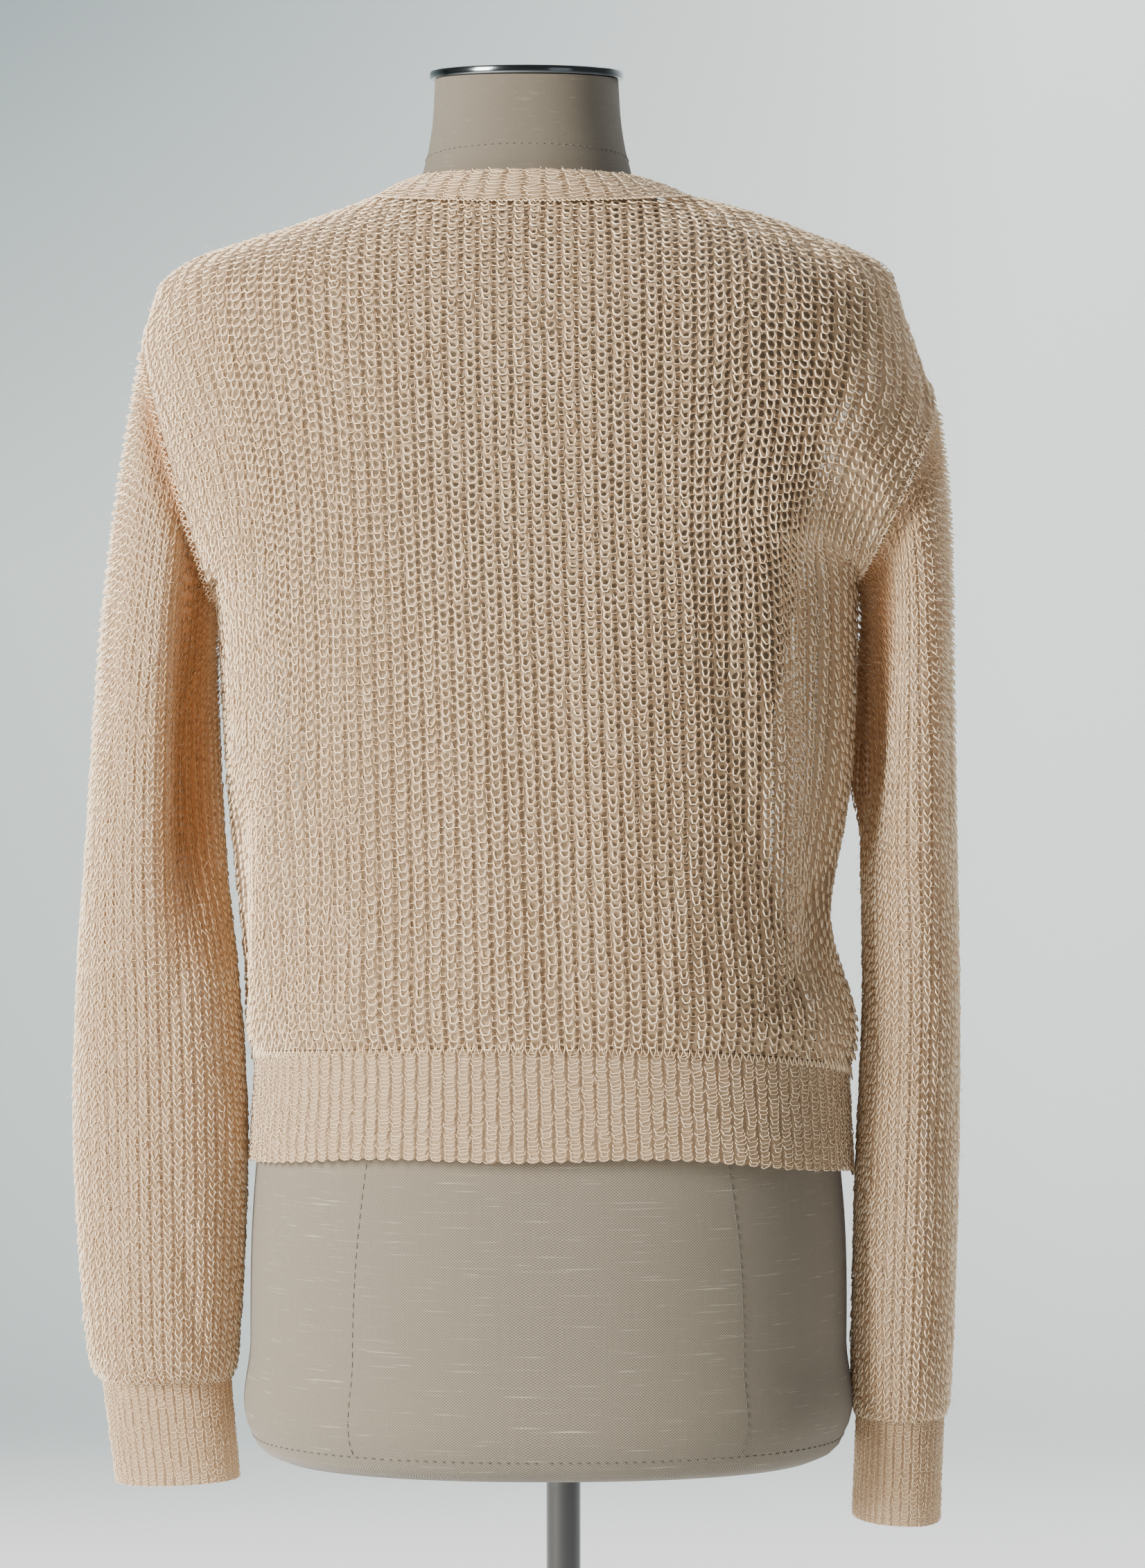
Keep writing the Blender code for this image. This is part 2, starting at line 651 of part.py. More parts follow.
def make_sleeve(name, side, material):
    rows = SLEEVE[side]
    turns = np.arange(2 * SLEEVE_RIBS) / (2 * SLEEVE_RIBS)
    roundness = [2] + [SLEEVE_ROUNDNESS] * (len(rows["depth"]) - 1)
    rings, normals = tube_rings(rows, turns, roundness)
    slant = np.array([rows["outer_x"][0] - rows["inner_x"][0], 0, rows["outer_z"][0] - rows["inner_z"][0]])
    away = unit(np.array([abs(slant[2]) * side, 0, -abs(slant[0])]))
    rings[0] += away * SEAM_GAP
    height = rings[..., 2]
    push = np.zeros_like(height)
    for fold in SLEEVE_FOLDS[side]:
        run = (fold["top"] - height) / (fold["top"] - fold["low"])
        centre = fold["turn_top"] + run * (fold["turn_low"] - fold["turn_top"])
        ends = ease(-0.3, 0.15, run) * (1 - ease(0.85, 1.3, run))
        push += fold["rise"] * np.exp(-(((turns - centre) / fold["width"]) ** 2)) * ends
    push[0] = 0.0
    push[-1] = 0.0
    lift = np.zeros_like(height)
    lift[1:, 1::2] = RIB_HEIGHT * 0.9
    lift[1] *= 1 - 0.8 * np.exp(-(((turns - 0.5) / 0.08) ** 2))
    skin = rings + normals * (push + lift)[..., None]
    lining = rings + normals * (push - KNIT_WALL)[..., None]
    return wall(name, skin, lining, inner_places(2 * SLEEVE_RIBS), True, material)


def make_cuff(name, side, material):
    turns = np.arange(2 * CUFF_RIBS) / (2 * CUFF_RIBS)
    rings, normals = tube_rings(CUFF[side], turns, [SLEEVE_ROUNDNESS] * 2)
    lift = np.where(np.arange(2 * CUFF_RIBS) % 2, BAND_RIB_HEIGHT, 0.0)
    skin = rings + normals * lift[None, :, None]
    lining = rings - normals * BAND_WALL
    return wall(name, skin, lining, inner_places(2 * CUFF_RIBS), True, material)


# The dress form and its stand

def loft(name, rings, material):
    """A closed solid through rings of points, capped at both ends."""
    bm = bmesh.new()
    verts = sheet(bm, rings, True)
    bm.faces.new(verts[0])
    bm.faces.new(verts[-1])
    return add_object(name, bm, material)


def make_form(name, material):
    segments = 30
    rings = []
    angles = np.arange(segments) * 2 * math.pi / segments
    power = 2 / FORM_ROUNDNESS
    for k, height in enumerate(FORM["height"]):
        cosine = np.sign(np.cos(angles)) * np.abs(np.cos(angles)) ** power
        sine = np.sign(np.sin(angles)) * np.abs(np.sin(angles)) ** power
        depth = np.where(sine < 0, FORM["back"][k], FORM["front"][k])
        x = follow(LEAN, "middle", height) + FORM["half_width"][k] * cosine
        rings.append(np.stack([x, depth * sine, np.full(segments, height)], axis=1))
    return loft(name, rings, material)


def make_turned(name, profile, centre, material, segments=36):
    """A turned piece from (radius, height) points up its side."""
    angles = np.arange(segments) * 2 * math.pi / segments
    circle = np.stack([np.cos(angles), np.sin(angles)], axis=1)
    rings = [
        np.concatenate([circle * radius + centre, np.full((segments, 1), height)], axis=1)
        for radius, height in profile
    ]
    return loft(name, rings, material)


def make_stand(steel, gloss):
    """Base plate with its boss, the pole and the metal plate on the neck."""
    edge = 2.5 * MM
    base = [
        (BASE_RADIUS - edge, 0.0),
        (BASE_RADIUS, edge),
        (BASE_RADIUS, BASE_HEIGHT - edge),
        (BASE_RADIUS - edge, BASE_HEIGHT),
        (BOSS_RADIUS, BASE_HEIGHT),
        (BOSS_RADIUS, BOSS_HEIGHT - edge),
        (BOSS_RADIUS - edge, BOSS_HEIGHT),
    ]
    make_turned("base", base, (0.0, 0.0), gloss)
    pole = [(POLE_RADIUS, BOSS_HEIGHT + 0.3 * MM), (POLE_RADIUS, FORM_BOTTOM - 0.3 * MM)]
    make_turned("pole", pole, (0.0, 0.0), gloss, segments=24)
    low = FORM_TOP + 0.3 * MM
    bevel = 1.2 * MM
    cap = [
        (CAP_RADIUS - bevel, low),
        (CAP_RADIUS, low + bevel),
        (CAP_RADIUS, low + CAP_HEIGHT - bevel),
        (CAP_RADIUS - bevel, low + CAP_HEIGHT),
    ]
    make_turned("neck_cap", cap, (float(follow(LEAN, "middle", FORM_TOP)), 0.0), steel)


def main():
    for piece in list(bpy.data.objects):
        bpy.data.objects.remove(piece)
    knit = plain_material("mohair_knit", (0.87, 0.76, 0.65), 0.95)
    linen = plain_material("linen_cover", (0.60, 0.56, 0.50), 0.9)
    steel = plain_material("polished_steel", (0.55, 0.56, 0.58), 0.15, 1.0)
    gloss = plain_material("black_lacquer", (0.04, 0.05, 0.06), 0.3)
    make_panel("back_panel", -1, knit)
    make_panel("front_panel", +1, knit)
    make_hem("hem_back", -1, knit)
    make_hem("hem_front", +1, knit)
    make_neckband("neckband", knit)
    for side, word in ((-1, "left"), (1, "right")):
        make_sleeve("sleeve_" + word, side, knit)
        make_cuff("cuff_" + word, side, knit)
    make_form("form_torso", linen)
    make_stand(steel, gloss)


main()
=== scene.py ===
# %% [markdown]
# # A mohair pullover on a dress form
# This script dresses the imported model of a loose, see-through pullover that is worn by a limbless
# dress form. The real pullover is knitted in fisherman's rib from a brushed mohair yarn: every stitch
# is a little loop, and between the loops a veil of fine hair lets what is behind it show.
# So the cloth is made twice here. A thin skin is the veil, and on it stands the yarn itself, one small
# loop of real geometry for each stitch.

# %% Load the frame
import json
import math

import bmesh
import bpy
import numpy as np
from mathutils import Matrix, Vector

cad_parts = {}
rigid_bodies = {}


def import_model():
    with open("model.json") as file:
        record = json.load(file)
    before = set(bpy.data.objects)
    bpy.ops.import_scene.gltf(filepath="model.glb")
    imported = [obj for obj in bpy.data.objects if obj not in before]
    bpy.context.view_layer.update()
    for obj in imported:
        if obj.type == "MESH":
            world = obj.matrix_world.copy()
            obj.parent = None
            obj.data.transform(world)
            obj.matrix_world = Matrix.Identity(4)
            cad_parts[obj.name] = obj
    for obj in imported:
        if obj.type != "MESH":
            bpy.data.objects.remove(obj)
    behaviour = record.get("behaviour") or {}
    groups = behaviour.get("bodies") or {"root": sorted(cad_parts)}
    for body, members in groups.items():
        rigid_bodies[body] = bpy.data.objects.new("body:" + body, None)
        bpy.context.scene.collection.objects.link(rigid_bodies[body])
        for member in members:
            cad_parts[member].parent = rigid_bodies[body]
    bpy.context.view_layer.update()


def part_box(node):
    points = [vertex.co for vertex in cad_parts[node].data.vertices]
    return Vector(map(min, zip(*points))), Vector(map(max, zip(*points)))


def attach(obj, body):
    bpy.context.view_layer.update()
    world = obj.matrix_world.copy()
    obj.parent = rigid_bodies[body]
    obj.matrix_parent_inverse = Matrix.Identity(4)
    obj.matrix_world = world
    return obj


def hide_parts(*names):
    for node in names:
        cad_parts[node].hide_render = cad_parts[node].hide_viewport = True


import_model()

# %% [markdown]
# ## Sizes
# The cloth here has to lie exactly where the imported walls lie, so the same tables are repeated: the
# cross-sections of the form and of the pullover, the armholes, the sleeves and the folds.
# All are in millimetres, and one function turns them into metres.

# %% Tables
MM = 0.001


def table(columns, *rows):
    """Named columns of millimetre values, as arrays in metres."""
    return dict(zip(columns.split(), np.array(rows, dtype=float).T * MM))


SEAM_GAP = 0.4 * MM
NECK_GAP = 0.5 * MM
RIB_HEIGHT = 1.1 * MM
PANEL_RIBS = 54
HEM_RIBS = 61
SLEEVE_RIBS = 46
CUFF_RIBS = 40
NECK_RIBS = 50
PANEL_HALF_WIDTH = 238 * MM
FORM_BOTTOM = 234.7 * MM
FORM_TOP = 997.5 * MM
CAP_RADIUS = 53.5 * MM
FORM_ROUNDNESS = 2.25
BODY_ROUNDNESS = 2.3
SLEEVE_ROUNDNESS = 2.2

FORM = table(
    "height half_width back front",
    (234.7, 150.0, 100.0, 91.0),
    (238.5, 158.5, 108.0, 98.5),
    (247.0, 164.5, 114.0, 104.0),
    (300.0, 166.0, 116.5, 106.0),
    (380.0, 164.0, 115.5, 105.0),
    (450.0, 155.0, 106.0, 100.0),
    (510.0, 139.0, 93.0, 93.0),
    (580.0, 124.0, 82.0, 88.0),
    (640.0, 130.0, 87.0, 98.0),
    (700.0, 143.0, 97.0, 118.0),
    (750.0, 151.0, 106.0, 125.0),
    (800.0, 164.0, 111.5, 116.0),
    (840.0, 181.0, 110.5, 98.0),
    (865.0, 193.0, 105.0, 84.0),
    (880.0, 196.5, 100.0, 77.0),
    (888.0, 188.0, 94.0, 70.5),
    (896.0, 171.0, 88.5, 66.5),
    (908.0, 137.0, 80.0, 61.5),
    (920.0, 101.0, 71.0, 57.5),
    (930.0, 76.0, 65.0, 54.0),
    (939.0, 61.5, 59.5, 52.0),
    (951.0, 56.5, 57.0, 51.0),
    (970.0, 52.6, 53.6, 49.8),
    (997.5, 50.6, 52.0, 49.0),
)

LEAN = table(
    "height middle",
    (234.7, -8.5),
    (400.0, -8.5),
    (560.0, -12.0),
    (720.0, -16.5),
    (860.0, -19.3),
    (1000.0, -20.3),
)

BODY = table(
    "height left right back front",
    (385.0, -174.0, 161.0, 120.5, 110.5),
    (420.0, -172.5, 159.0, 118.0, 108.5),
    (450.0, -170.5, 157.5, 115.5, 107.5),
    (475.0, -170.5, 155.5, 115.5, 108.5),
    (505.0, -172.0, 151.5, 117.0, 111.0),
    (532.0, -177.0, 146.0, 118.5, 114.5),
    (562.0, -182.0, 152.5, 119.5, 118.5),
    (592.0, -184.5, 157.0, 120.5, 122.5),
    (645.0, -186.5, 160.5, 121.5, 129.0),
    (697.0, -190.0, 162.0, 122.0, 133.5),
    (722.0, -194.0, 162.9, 121.8, 134.5),
    (750.0, -203.0, 172.0, 121.3, 133.5),
    (800.0, -221.0, 203.0, 119.5, 125.0),
    (840.0, -232.0, 197.0, 116.5, 105.5),
    (865.0, -227.5, 188.8, 110.5, 90.5),
    (880.0, -224.2, 184.8, 105.5, 82.5),
    (887.5, -220.5, 182.8, 102.0, 78.5),
    (893.0, -213.5, 180.0, 99.0, 76.5),
    (898.0, -204.5, 173.5, 96.3, 74.8),
    (904.0, -187.5, 156.5, 92.5, 72.5),
    (912.0, -161.5, 137.0, 87.0, 69.5),
    (920.0, -137.0, 117.0, 81.0, 66.5),
    (927.0, -119.0, 93.0, 76.0, 63.8),
    (933.5, -101.0, 66.5, 71.0, 61.3),
    (941.3, -84.5, 45.5, 66.0, 58.8),
    (950.0, -81.0, 41.5, 63.0, 57.0),
)

BLOUSE = table(
    "height swell",
    (0.0, 0.5),
    (9.0, 5.0),
    (24.0, 7.0),
    (50.0, 4.5),
    (90.0, 1.0),
    (130.0, 0.0),
    (600.0, 0.0),
)

ARMHOLE = {
    -1: {"top": (-232.2 * MM, 846.8 * MM), "under": (-191.3 * MM, 705.0 * MM), "depth": 50 * MM},
    +1: {"top": (205.6 * MM, 815.6 * MM), "under": (162.9 * MM, 721.3 * MM), "depth": 74 * MM},
}

HEM = {
    "seam": {"left": 459 * MM, "right": 448 * MM, "back": 472 * MM, "front": 455 * MM},
    "edge": {"left": 399 * MM, "right": 390 * MM, "back": 411 * MM, "front": 394 * MM},
}

NECK = {
    "seam": {"side": 933.5 * MM, "back": 927.0 * MM, "front": 893.0 * MM},
    "edge": {"side": 941.3 * MM, "back": 945.5 * MM, "front": 912.0 * MM},
}

LOWER_ROWS = (0.0, 0.05, 0.14, 0.32, 0.62)
UPPER_ROWS = (0.0, 0.17, 0.35, 0.52, 0.66, 0.78, 0.89, 1.0)
EVEN_FROM = 8

SLEEVE = {
    -1: table(
        "outer_x outer_z inner_x inner_z depth",
        (-232.2, 846.8, -191.3, 705.0, 50.0),
        (-240.5, 801.0, -193.5, 684.0, 50.0),
        (-249.0, 745.0, -193.5, 662.0, 49.5),
        (-257.5, 665.0, -192.5, 628.0, 48.0),
        (-264.0, 575.0, -189.5, 568.0, 46.0),
        (-269.5, 500.0, -181.5, 500.0, 45.0),
        (-271.5, 405.0, -176.8, 405.0, 44.0),
        (-264.5, 297.0, -182.0, 297.0, 40.0),
        (-257.0, 279.0, -186.0, 279.0, 27.0),
    ),
    +1: table(
        "outer_x outer_z inner_x inner_z depth",
        (205.6, 815.6, 162.9, 721.3, 74.0),
        (210.5, 779.0, 167.0, 702.0, 71.0),
        (213.0, 735.0, 168.0, 677.0, 67.0),
        (214.3, 674.0, 167.5, 640.0, 63.0),
        (216.5, 589.0, 166.0, 582.0, 59.0),
        (218.7, 489.0, 167.5, 489.0, 57.0),
        (218.3, 385.0, 163.5, 385.0, 55.0),
        (214.8, 275.0, 161.5, 275.0, 47.0),
        (211.8, 258.5, 163.8, 258.5, 37.0),
    ),
}

CUFF = {
    -1: table(
        "outer_x outer_z inner_x inner_z depth",
        (-256.6, 278.5, -186.4, 278.5, 26.6),
        (-249.0, 219.0, -181.5, 221.5, 25.5),
    ),
    +1: table(
        "outer_x outer_z inner_x inner_z depth",
        (211.4, 258.0, 164.2, 258.0, 36.6),
        (209.4, 198.0, 162.0, 200.5, 35.0),
    ),
}
print("tables:", len(BODY["height"]), "sections of the body,", len(FORM["height"]), "of the form")

# %% [markdown]
# ## Folds
# The large folds are the imported wall's own. Below each of them stand a few softer creases that a wall of
# that coarseness can't carry: short slack troughs under the shoulders, pulls towards the underarms and small
# rolls above the hem. They are placed one by one and are uneven, like those of worn cloth.

# %% Folds and creases
FOLD_COLUMNS = "across_top height_top across_low height_low width rise"
BODY_FOLDS = {
    -1: table(
        FOLD_COLUMNS,
        (166.0, 760.0, 172.0, 545.0, 24.0, -9.0),
        (130.0, 770.0, 142.0, 540.0, 16.0, 3.0),
        (196.0, 560.0, 132.0, 492.0, 18.0, -4.5),
        (-148.0, 640.0, -170.0, 500.0, 17.0, 5.0),
        (-198.0, 600.0, -206.0, 488.0, 20.0, -5.5),
        (-70.0, 720.0, -62.0, 500.0, 24.0, -3.0),
        (48.0, 690.0, 34.0, 490.0, 26.0, 2.5),
    ),
    +1: table(
        FOLD_COLUMNS,
        (62.0, 700.0, 78.0, 500.0, 20.0, -7.0),
        (-58.0, 700.0, -84.0, 495.0, 22.0, -6.0),
        (120.0, 690.0, 150.0, 500.0, 17.0, 5.0),
        (-124.0, 690.0, -150.0, 510.0, 18.0, 4.0),
        (0.0, 650.0, 6.0, 480.0, 26.0, 3.0),
    ),
}

BODY_CREASES = {
    -1: table(
        FOLD_COLUMNS,
        (-176.0, 835.0, -150.0, 730.0, 10.0, -1.8),
        (-118.0, 700.0, -132.0, 560.0, 9.0, -1.6),
        (-30.0, 640.0, -22.0, 520.0, 11.0, 1.3),
        (98.0, 720.0, 112.0, 590.0, 9.0, -1.9),
        (80.0, 560.0, 66.0, 492.0, 9.0, 1.6),
        (4.0, 560.0, 14.0, 486.0, 10.0, -1.4),
        (-96.0, 545.0, -104.0, 480.0, 8.0, 1.8),
        (184.0, 700.0, 196.0, 610.0, 8.0, 1.7),
    ),
    +1: table(
        FOLD_COLUMNS,
        (30.0, 780.0, 40.0, 640.0, 11.0, -1.6),
        (-34.0, 770.0, -26.0, 610.0, 10.0, 1.4),
        (96.0, 620.0, 110.0, 500.0, 9.0, -1.9),
        (-104.0, 600.0, -118.0, 490.0, 9.0, -1.7),
        (170.0, 730.0, 182.0, 600.0, 9.0, 1.8),
        (-176.0, 700.0, -190.0, 560.0, 10.0, -1.8),
        (-8.0, 540.0, 2.0, 470.0, 9.0, -1.5),
    ),
}

SLEEVE_COLUMNS = ("turn_top", "turn_low", "top", "low", "width", "rise")
SLEEVE_FOLDS = {
    -1: (
        (0.37, 0.35, 0.790, 0.560, 0.072, -0.013),
        (0.26, 0.24, 0.760, 0.540, 0.035, 0.003),
        (0.66, 0.62, 0.740, 0.520, 0.050, -0.008),
        (0.86, 0.80, 0.560, 0.330, 0.045, -0.004),
        (0.20, 0.13, 0.480, 0.300, 0.050, -0.003),
        (0.12, 0.17, 0.720, 0.600, 0.022, -0.0016),
        (0.30, 0.26, 0.520, 0.430, 0.020, -0.0018),
        (0.40, 0.46, 0.430, 0.330, 0.022, 0.0016),
        (0.28, 0.33, 0.390, 0.300, 0.020, -0.0020),
        (0.74, 0.70, 0.480, 0.380, 0.025, 0.0017),
        (0.49, 0.49, 0.700, 0.560, 0.060, 0.0016),
    ),
    +1: (
        (0.31, 0.39, 0.770, 0.600, 0.062, -0.009),
        (0.18, 0.24, 0.740, 0.560, 0.040, 0.003),
        (0.66, 0.62, 0.740, 0.520, 0.050, -0.008),
        (0.84, 0.80, 0.560, 0.340, 0.045, -0.004),
        (0.10, 0.14, 0.700, 0.590, 0.022, -0.0016),
        (0.24, 0.20, 0.500, 0.400, 0.020, -0.0018),
        (0.36, 0.30, 0.420, 0.310, 0.022, 0.0016),
        (0.76, 0.72, 0.460, 0.360, 0.025, -0.0017),
        (0.59, 0.59, 0.695, 0.600, 0.055, 0.0095),
    ),
}
fold_count = len(BODY_FOLDS[-1]["rise"]) + len(BODY_CREASES[-1]["rise"])
print("folds and creases on the back:", fold_count)

# %% [markdown]
# ## The cloth's surface
# The back and the front are columns of knitting. Each column climbs from the hem to a shoulder, to the
# neckline or to the armhole that cuts it off, and each row crosses the columns. These functions give
# the place of any column and row on the rounded body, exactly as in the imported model.

# %% Sections and columns
QUARTER = np.linspace(0.0, math.pi / 2, 129)
DEEPEST_CUT = 0.93
BLEND_BELOW, BLEND_ABOVE = 60 * MM, 25 * MM


def follow(rows, column, at):
    """A smooth curve through one column of a table, read at some heights."""
    known = rows["height"]
    values = rows[column]
    slopes = np.gradient(values, known)
    at = np.clip(at, known[0], known[-1])
    i = np.clip(np.searchsorted(known, at) - 1, 0, len(known) - 2)
    step = known[i + 1] - known[i]
    t = (at - known[i]) / step
    rise = t * t * (3 - 2 * t)
    return (
        values[i] * (1 - rise)
        + values[i + 1] * rise
        + step * slopes[i] * t * (1 - t) ** 2
        - step * slopes[i + 1] * t * t * (1 - t)
    )


def ease(low, high, value):
    """0 below low, 1 above high, and a smooth step between."""
    t = np.clip((value - low) / (high - low), 0.0, 1.0)
    return t * t * (3 - 2 * t)


def unit(vectors):
    """Vectors of the same directions, one long."""
    return vectors / np.maximum(np.linalg.norm(vectors, axis=-1, keepdims=True), 1e-12)


def walk(path):
    """How far along a path each of its points lies."""
    return np.concatenate([[0.0], np.cumsum(np.linalg.norm(np.diff(path, axis=0), axis=1))])


def read_along(places, walked, path):
    """Points of a path, or directions that go with it, at some lengths along it."""
    return np.stack([np.interp(places, walked, path[:, axis]) for axis in range(3)], axis=-1)


def rounded(angles, roundness):
    """Cosine and sine, filled out towards a rounded box where the roundness is over 2."""
    power = 2 / roundness
    cosine = np.sign(np.cos(angles)) * np.abs(np.cos(angles)) ** power
    sine = np.sign(np.sin(angles)) * np.abs(np.sin(angles)) ** power
    return cosine, sine


def body_edge(height, side, facing):
    """Half width of the section, and its end angle: less than a quarter where the armhole cuts it."""
    middle = follow(LEAN, "middle", height)
    depth = follow(BODY, "back" if facing < 0 else "front", height)
    half = side * (follow(BODY, "right" if side > 0 else "left", height) - middle)
    hole = ARMHOLE[side]
    (top_x, top_z), (under_x, under_z) = hole["top"], hole["under"]
    end = math.pi / 2
    if under_z < height < top_z:
        lift = (height - (top_z + under_z) / 2) / ((top_z - under_z) / 2)
        x = side * ((top_x + under_x) / 2 + lift * (top_x - under_x) / 2 - middle)
        y = min(hole["depth"] * math.sqrt(max(1 - lift * lift, 0.0)), DEEPEST_CUT * depth)
        share = (y / depth) ** BODY_ROUNDNESS
        half = x / (1 - share) ** (1 / BODY_ROUNDNESS)
        end = math.acos(math.sqrt(share))
    elif height <= under_z:
        blend = ease(under_z - BLEND_BELOW, under_z, height)
        half = half + blend * (side * (under_x - middle) - half)
    else:
        blend = 1 - ease(top_z, top_z + BLEND_ABOVE, height)
        half = half + blend * (side * (top_x - middle) - half)
    return middle, half, depth, end


def section(height, side, facing):
    """A quarter of the cross-section from mid back or front to the edge, and the length along it."""
    middle, half, depth, end = body_edge(height, side, facing)
    angle = QUARTER * (end / QUARTER[-1])
    power = 2 / BODY_ROUNDNESS
    across = half * np.sin(angle) ** power
    deep = depth * np.cos(angle) ** power
    deep[-1] = depth * math.cos(end) ** power if end < QUARTER[-1] else 0.0
    along = np.concatenate([[0.0], np.cumsum(np.hypot(np.diff(across), np.diff(deep)))])
    return middle, across, deep, along


def section_length(height, side, facing):
    """How far it is along the cloth from the middle to the side."""
    return section(height, side, facing)[3][-1]


def spread(share, length):
    """Where a column lies along a section: even near the middle, fitted to the edge at the sides."""
    return PANEL_HALF_WIDTH * share + (length - PANEL_HALF_WIDTH) * share**3


def sew_line(share, facing, ends, side):
    """Height of a seam that dips or rises from the sides to mid back or mid front."""
    middle = ends["back" if facing < 0 else "front"]
    edge = ends["side"] if "side" in ends else ends["right" if side > 0 else "left"]
    return middle + (edge - middle) * share * share


low_girth, high_girth = (
    sum(section_length(height * MM, side, facing) for side in (-1, 1) for facing in (-1, 1))
    for height in (500, 700)
)
print("the body is", round(1000 * low_girth), "mm round low down and", round(1000 * high_girth), "higher up")

# %% [markdown]
# ## The two panels
# A panel of knitting is not a flat sheet that is bent: its columns fan out and are cut short where it
# meets a sleeve, a shoulder or the neckband. So each column gets its own height, its rows are shared
# out along it, and the grid is smoothed where the armholes would kink it.


# %% Panels
class Panel:
    """The back or the front: columns of knitting that run from the hem seam to the top seams."""

    def __init__(self, facing):
        self.facing = facing
        self.tops = {side: self.top_heights(side) for side in (-1, 1)}

    def top_heights(self, side):
        """The sections above the armhole, from its top up to the neck: their lengths and heights."""
        heights = np.linspace(ARMHOLE[side]["top"][1], NECK["seam"]["side"], 60)
        lengths = np.array([section_length(z, side, self.facing) for z in heights])
        return heights, np.minimum.accumulate(lengths)

    def column_top(self, share, side):
        """How high a column goes, and how far along the cloth it ends."""
        heights, lengths = self.tops[side]
        along = spread(share, lengths[0])
        if along >= lengths[-1]:
            return float(np.interp(-along, -lengths, heights)), along
        at_neck = along / lengths[-1]
        return sew_line(at_neck, self.facing, NECK["seam"], side), along

    def point(self, share, side, height):
        """The point of a column at a height."""
        middle, across, deep, along = section(height, side, self.facing)
        target = spread(share, along[-1])
        if height > ARMHOLE[side]["top"][1]:
            target = min(self.column_top(share, side)[1], along[-1])
        x = middle + side * np.interp(target, along, across)
        y = self.facing * np.interp(target, along, deep)
        return np.array([x, y, height]), target

    def rows(self, share, side):
        """The heights of a column's rows."""
        bottom = sew_line(share, self.facing, HEM["seam"], side) + SEAM_GAP / 2
        top = self.column_top(share, side)[0]
        left, right = (ARMHOLE[s]["under"][1] for s in (-1, 1))
        under = (left + right) / 2 + side * share * (right - left) / 2
        lower = bottom + (under - bottom) * np.array(LOWER_ROWS)
        climb = under + (top - under) * (1 - np.cos(np.linspace(0, math.pi, 41))) / 2
        path = np.array([self.point(share, side, z)[0] for z in climb])
        walked = walk(path)
        upper = np.interp(np.array(UPPER_ROWS) * walked[-1], walked, climb)
        return np.concatenate([lower, upper])

    def surface(self, shares):
        """Grids of points, cloth positions and outward directions, row by column."""
        sides = np.where(shares < 0, -1, 1)
        heights = np.array([self.rows(abs(s), d) for s, d in zip(shares, sides)]).T
        across = np.array([
            [d * self.point(abs(s), d, z)[1] for s, d, z in zip(shares, sides, row)] for row in heights
        ])
        heights, across = even_out(heights), even_out(across)
        points, normals = np.zeros((*across.shape, 3)), np.zeros((*across.shape, 3))
        for place in np.ndindex(across.shape):
            side = sides[place[1]]
            points[place] = self.at(side * across[place], side, heights[place])
            normals[place] = self.outward(side * across[place], side, heights[place])
            near = ease(0.94, 1.0, abs(shares[place[1]]))
            if near:
                rim = self.into_armhole(points[place], normals[place], side)
                normals[place] = unit(normals[place] * (1 - near) + rim * near)
        return points, across, normals

    def outward(self, along, side, height):
        """Outward direction of the plain section surface at a length along it."""
        step = 1.5 * MM
        length = section_length(height, side, self.facing)
        along = min(along, length)
        share = along / length
        low = self.at(along - step, side, height)
        high = self.at(min(along + step, length), side, height)
        above = self.at(share * section_length(height + step, side, self.facing), side, height + step)
        below = self.at(share * section_length(height - step, side, self.facing), side, height - step)
        normal = unit(np.cross(high - low, above - below))
        here = self.at(along, side, height)
        if np.dot(normal, here - np.array([follow(LEAN, "middle", height), 0, height])) < 0:
            normal = -normal
        if along > length - 0.01 * MM and abs(here[1]) < MM:
            normal = unit(normal * np.array([1, 0, 1]))
        return normal

    def into_armhole(self, here, normal, side):
        """Turns the outward direction at a panel's side edge into the plane of its armhole."""
        hole = ARMHOLE[side]
        top, under = (np.array([x, 0.0, z]) for x, z in (hole["top"], hole["under"]))
        if not under[2] < here[2] < top[2] + MM:
            return normal
        arm = (top - under) / 2
        lift = np.clip(np.dot(here - (top + under) / 2, arm) / np.dot(arm, arm), -1, 1)
        flat = lift * unit(arm) / np.linalg.norm(arm)
        rim = unit(flat + np.array([0, self.facing * math.sqrt(1 - lift**2) / hole["depth"], 0]))
        turned = ease(-1.0, -0.7, lift)
        return unit(normal * (1 - turned) + rim * turned)

    def at(self, along_cloth, side, height):
        """The point at a length along a section, past mid back too."""
        middle, across, deep, along = section(height, side, self.facing)
        reach = abs(along_cloth)
        x = middle + side * math.copysign(1.0, along_cloth) * np.interp(reach, along, across)
        return np.array([x, self.facing * np.interp(reach, along, deep), height])


def even_out(grid):
    """Smooths a panel's rows above the underarm, where the armholes bend its columns."""
    grid = grid.copy()
    above, below = grid[EVEN_FROM + 1:, 1:-1], grid[EVEN_FROM - 1:-2, 1:-1]
    rows = slice(EVEN_FROM, -1)
    grid[rows, 1:-1] = (above + below + grid[rows, :-2] + grid[rows, 2:]) / 4
    return grid


def swell(across, height, shares, facing, folds):
    """How far a table of folds moves the cloth outwards."""
    total = np.zeros_like(height)
    for k in range(len(folds["rise"])):
        run = (folds["height_top"][k] - height) / (folds["height_top"][k] - folds["height_low"][k])
        centre = folds["across_top"][k] + run * (folds["across_low"][k] - folds["across_top"][k])
        ends = ease(-0.25, 0.15, run) * (1 - ease(0.85, 1.25, run))
        total += folds["rise"][k] * np.exp(-(((across - centre) / folds["width"][k]) ** 2)) * ends
    return total


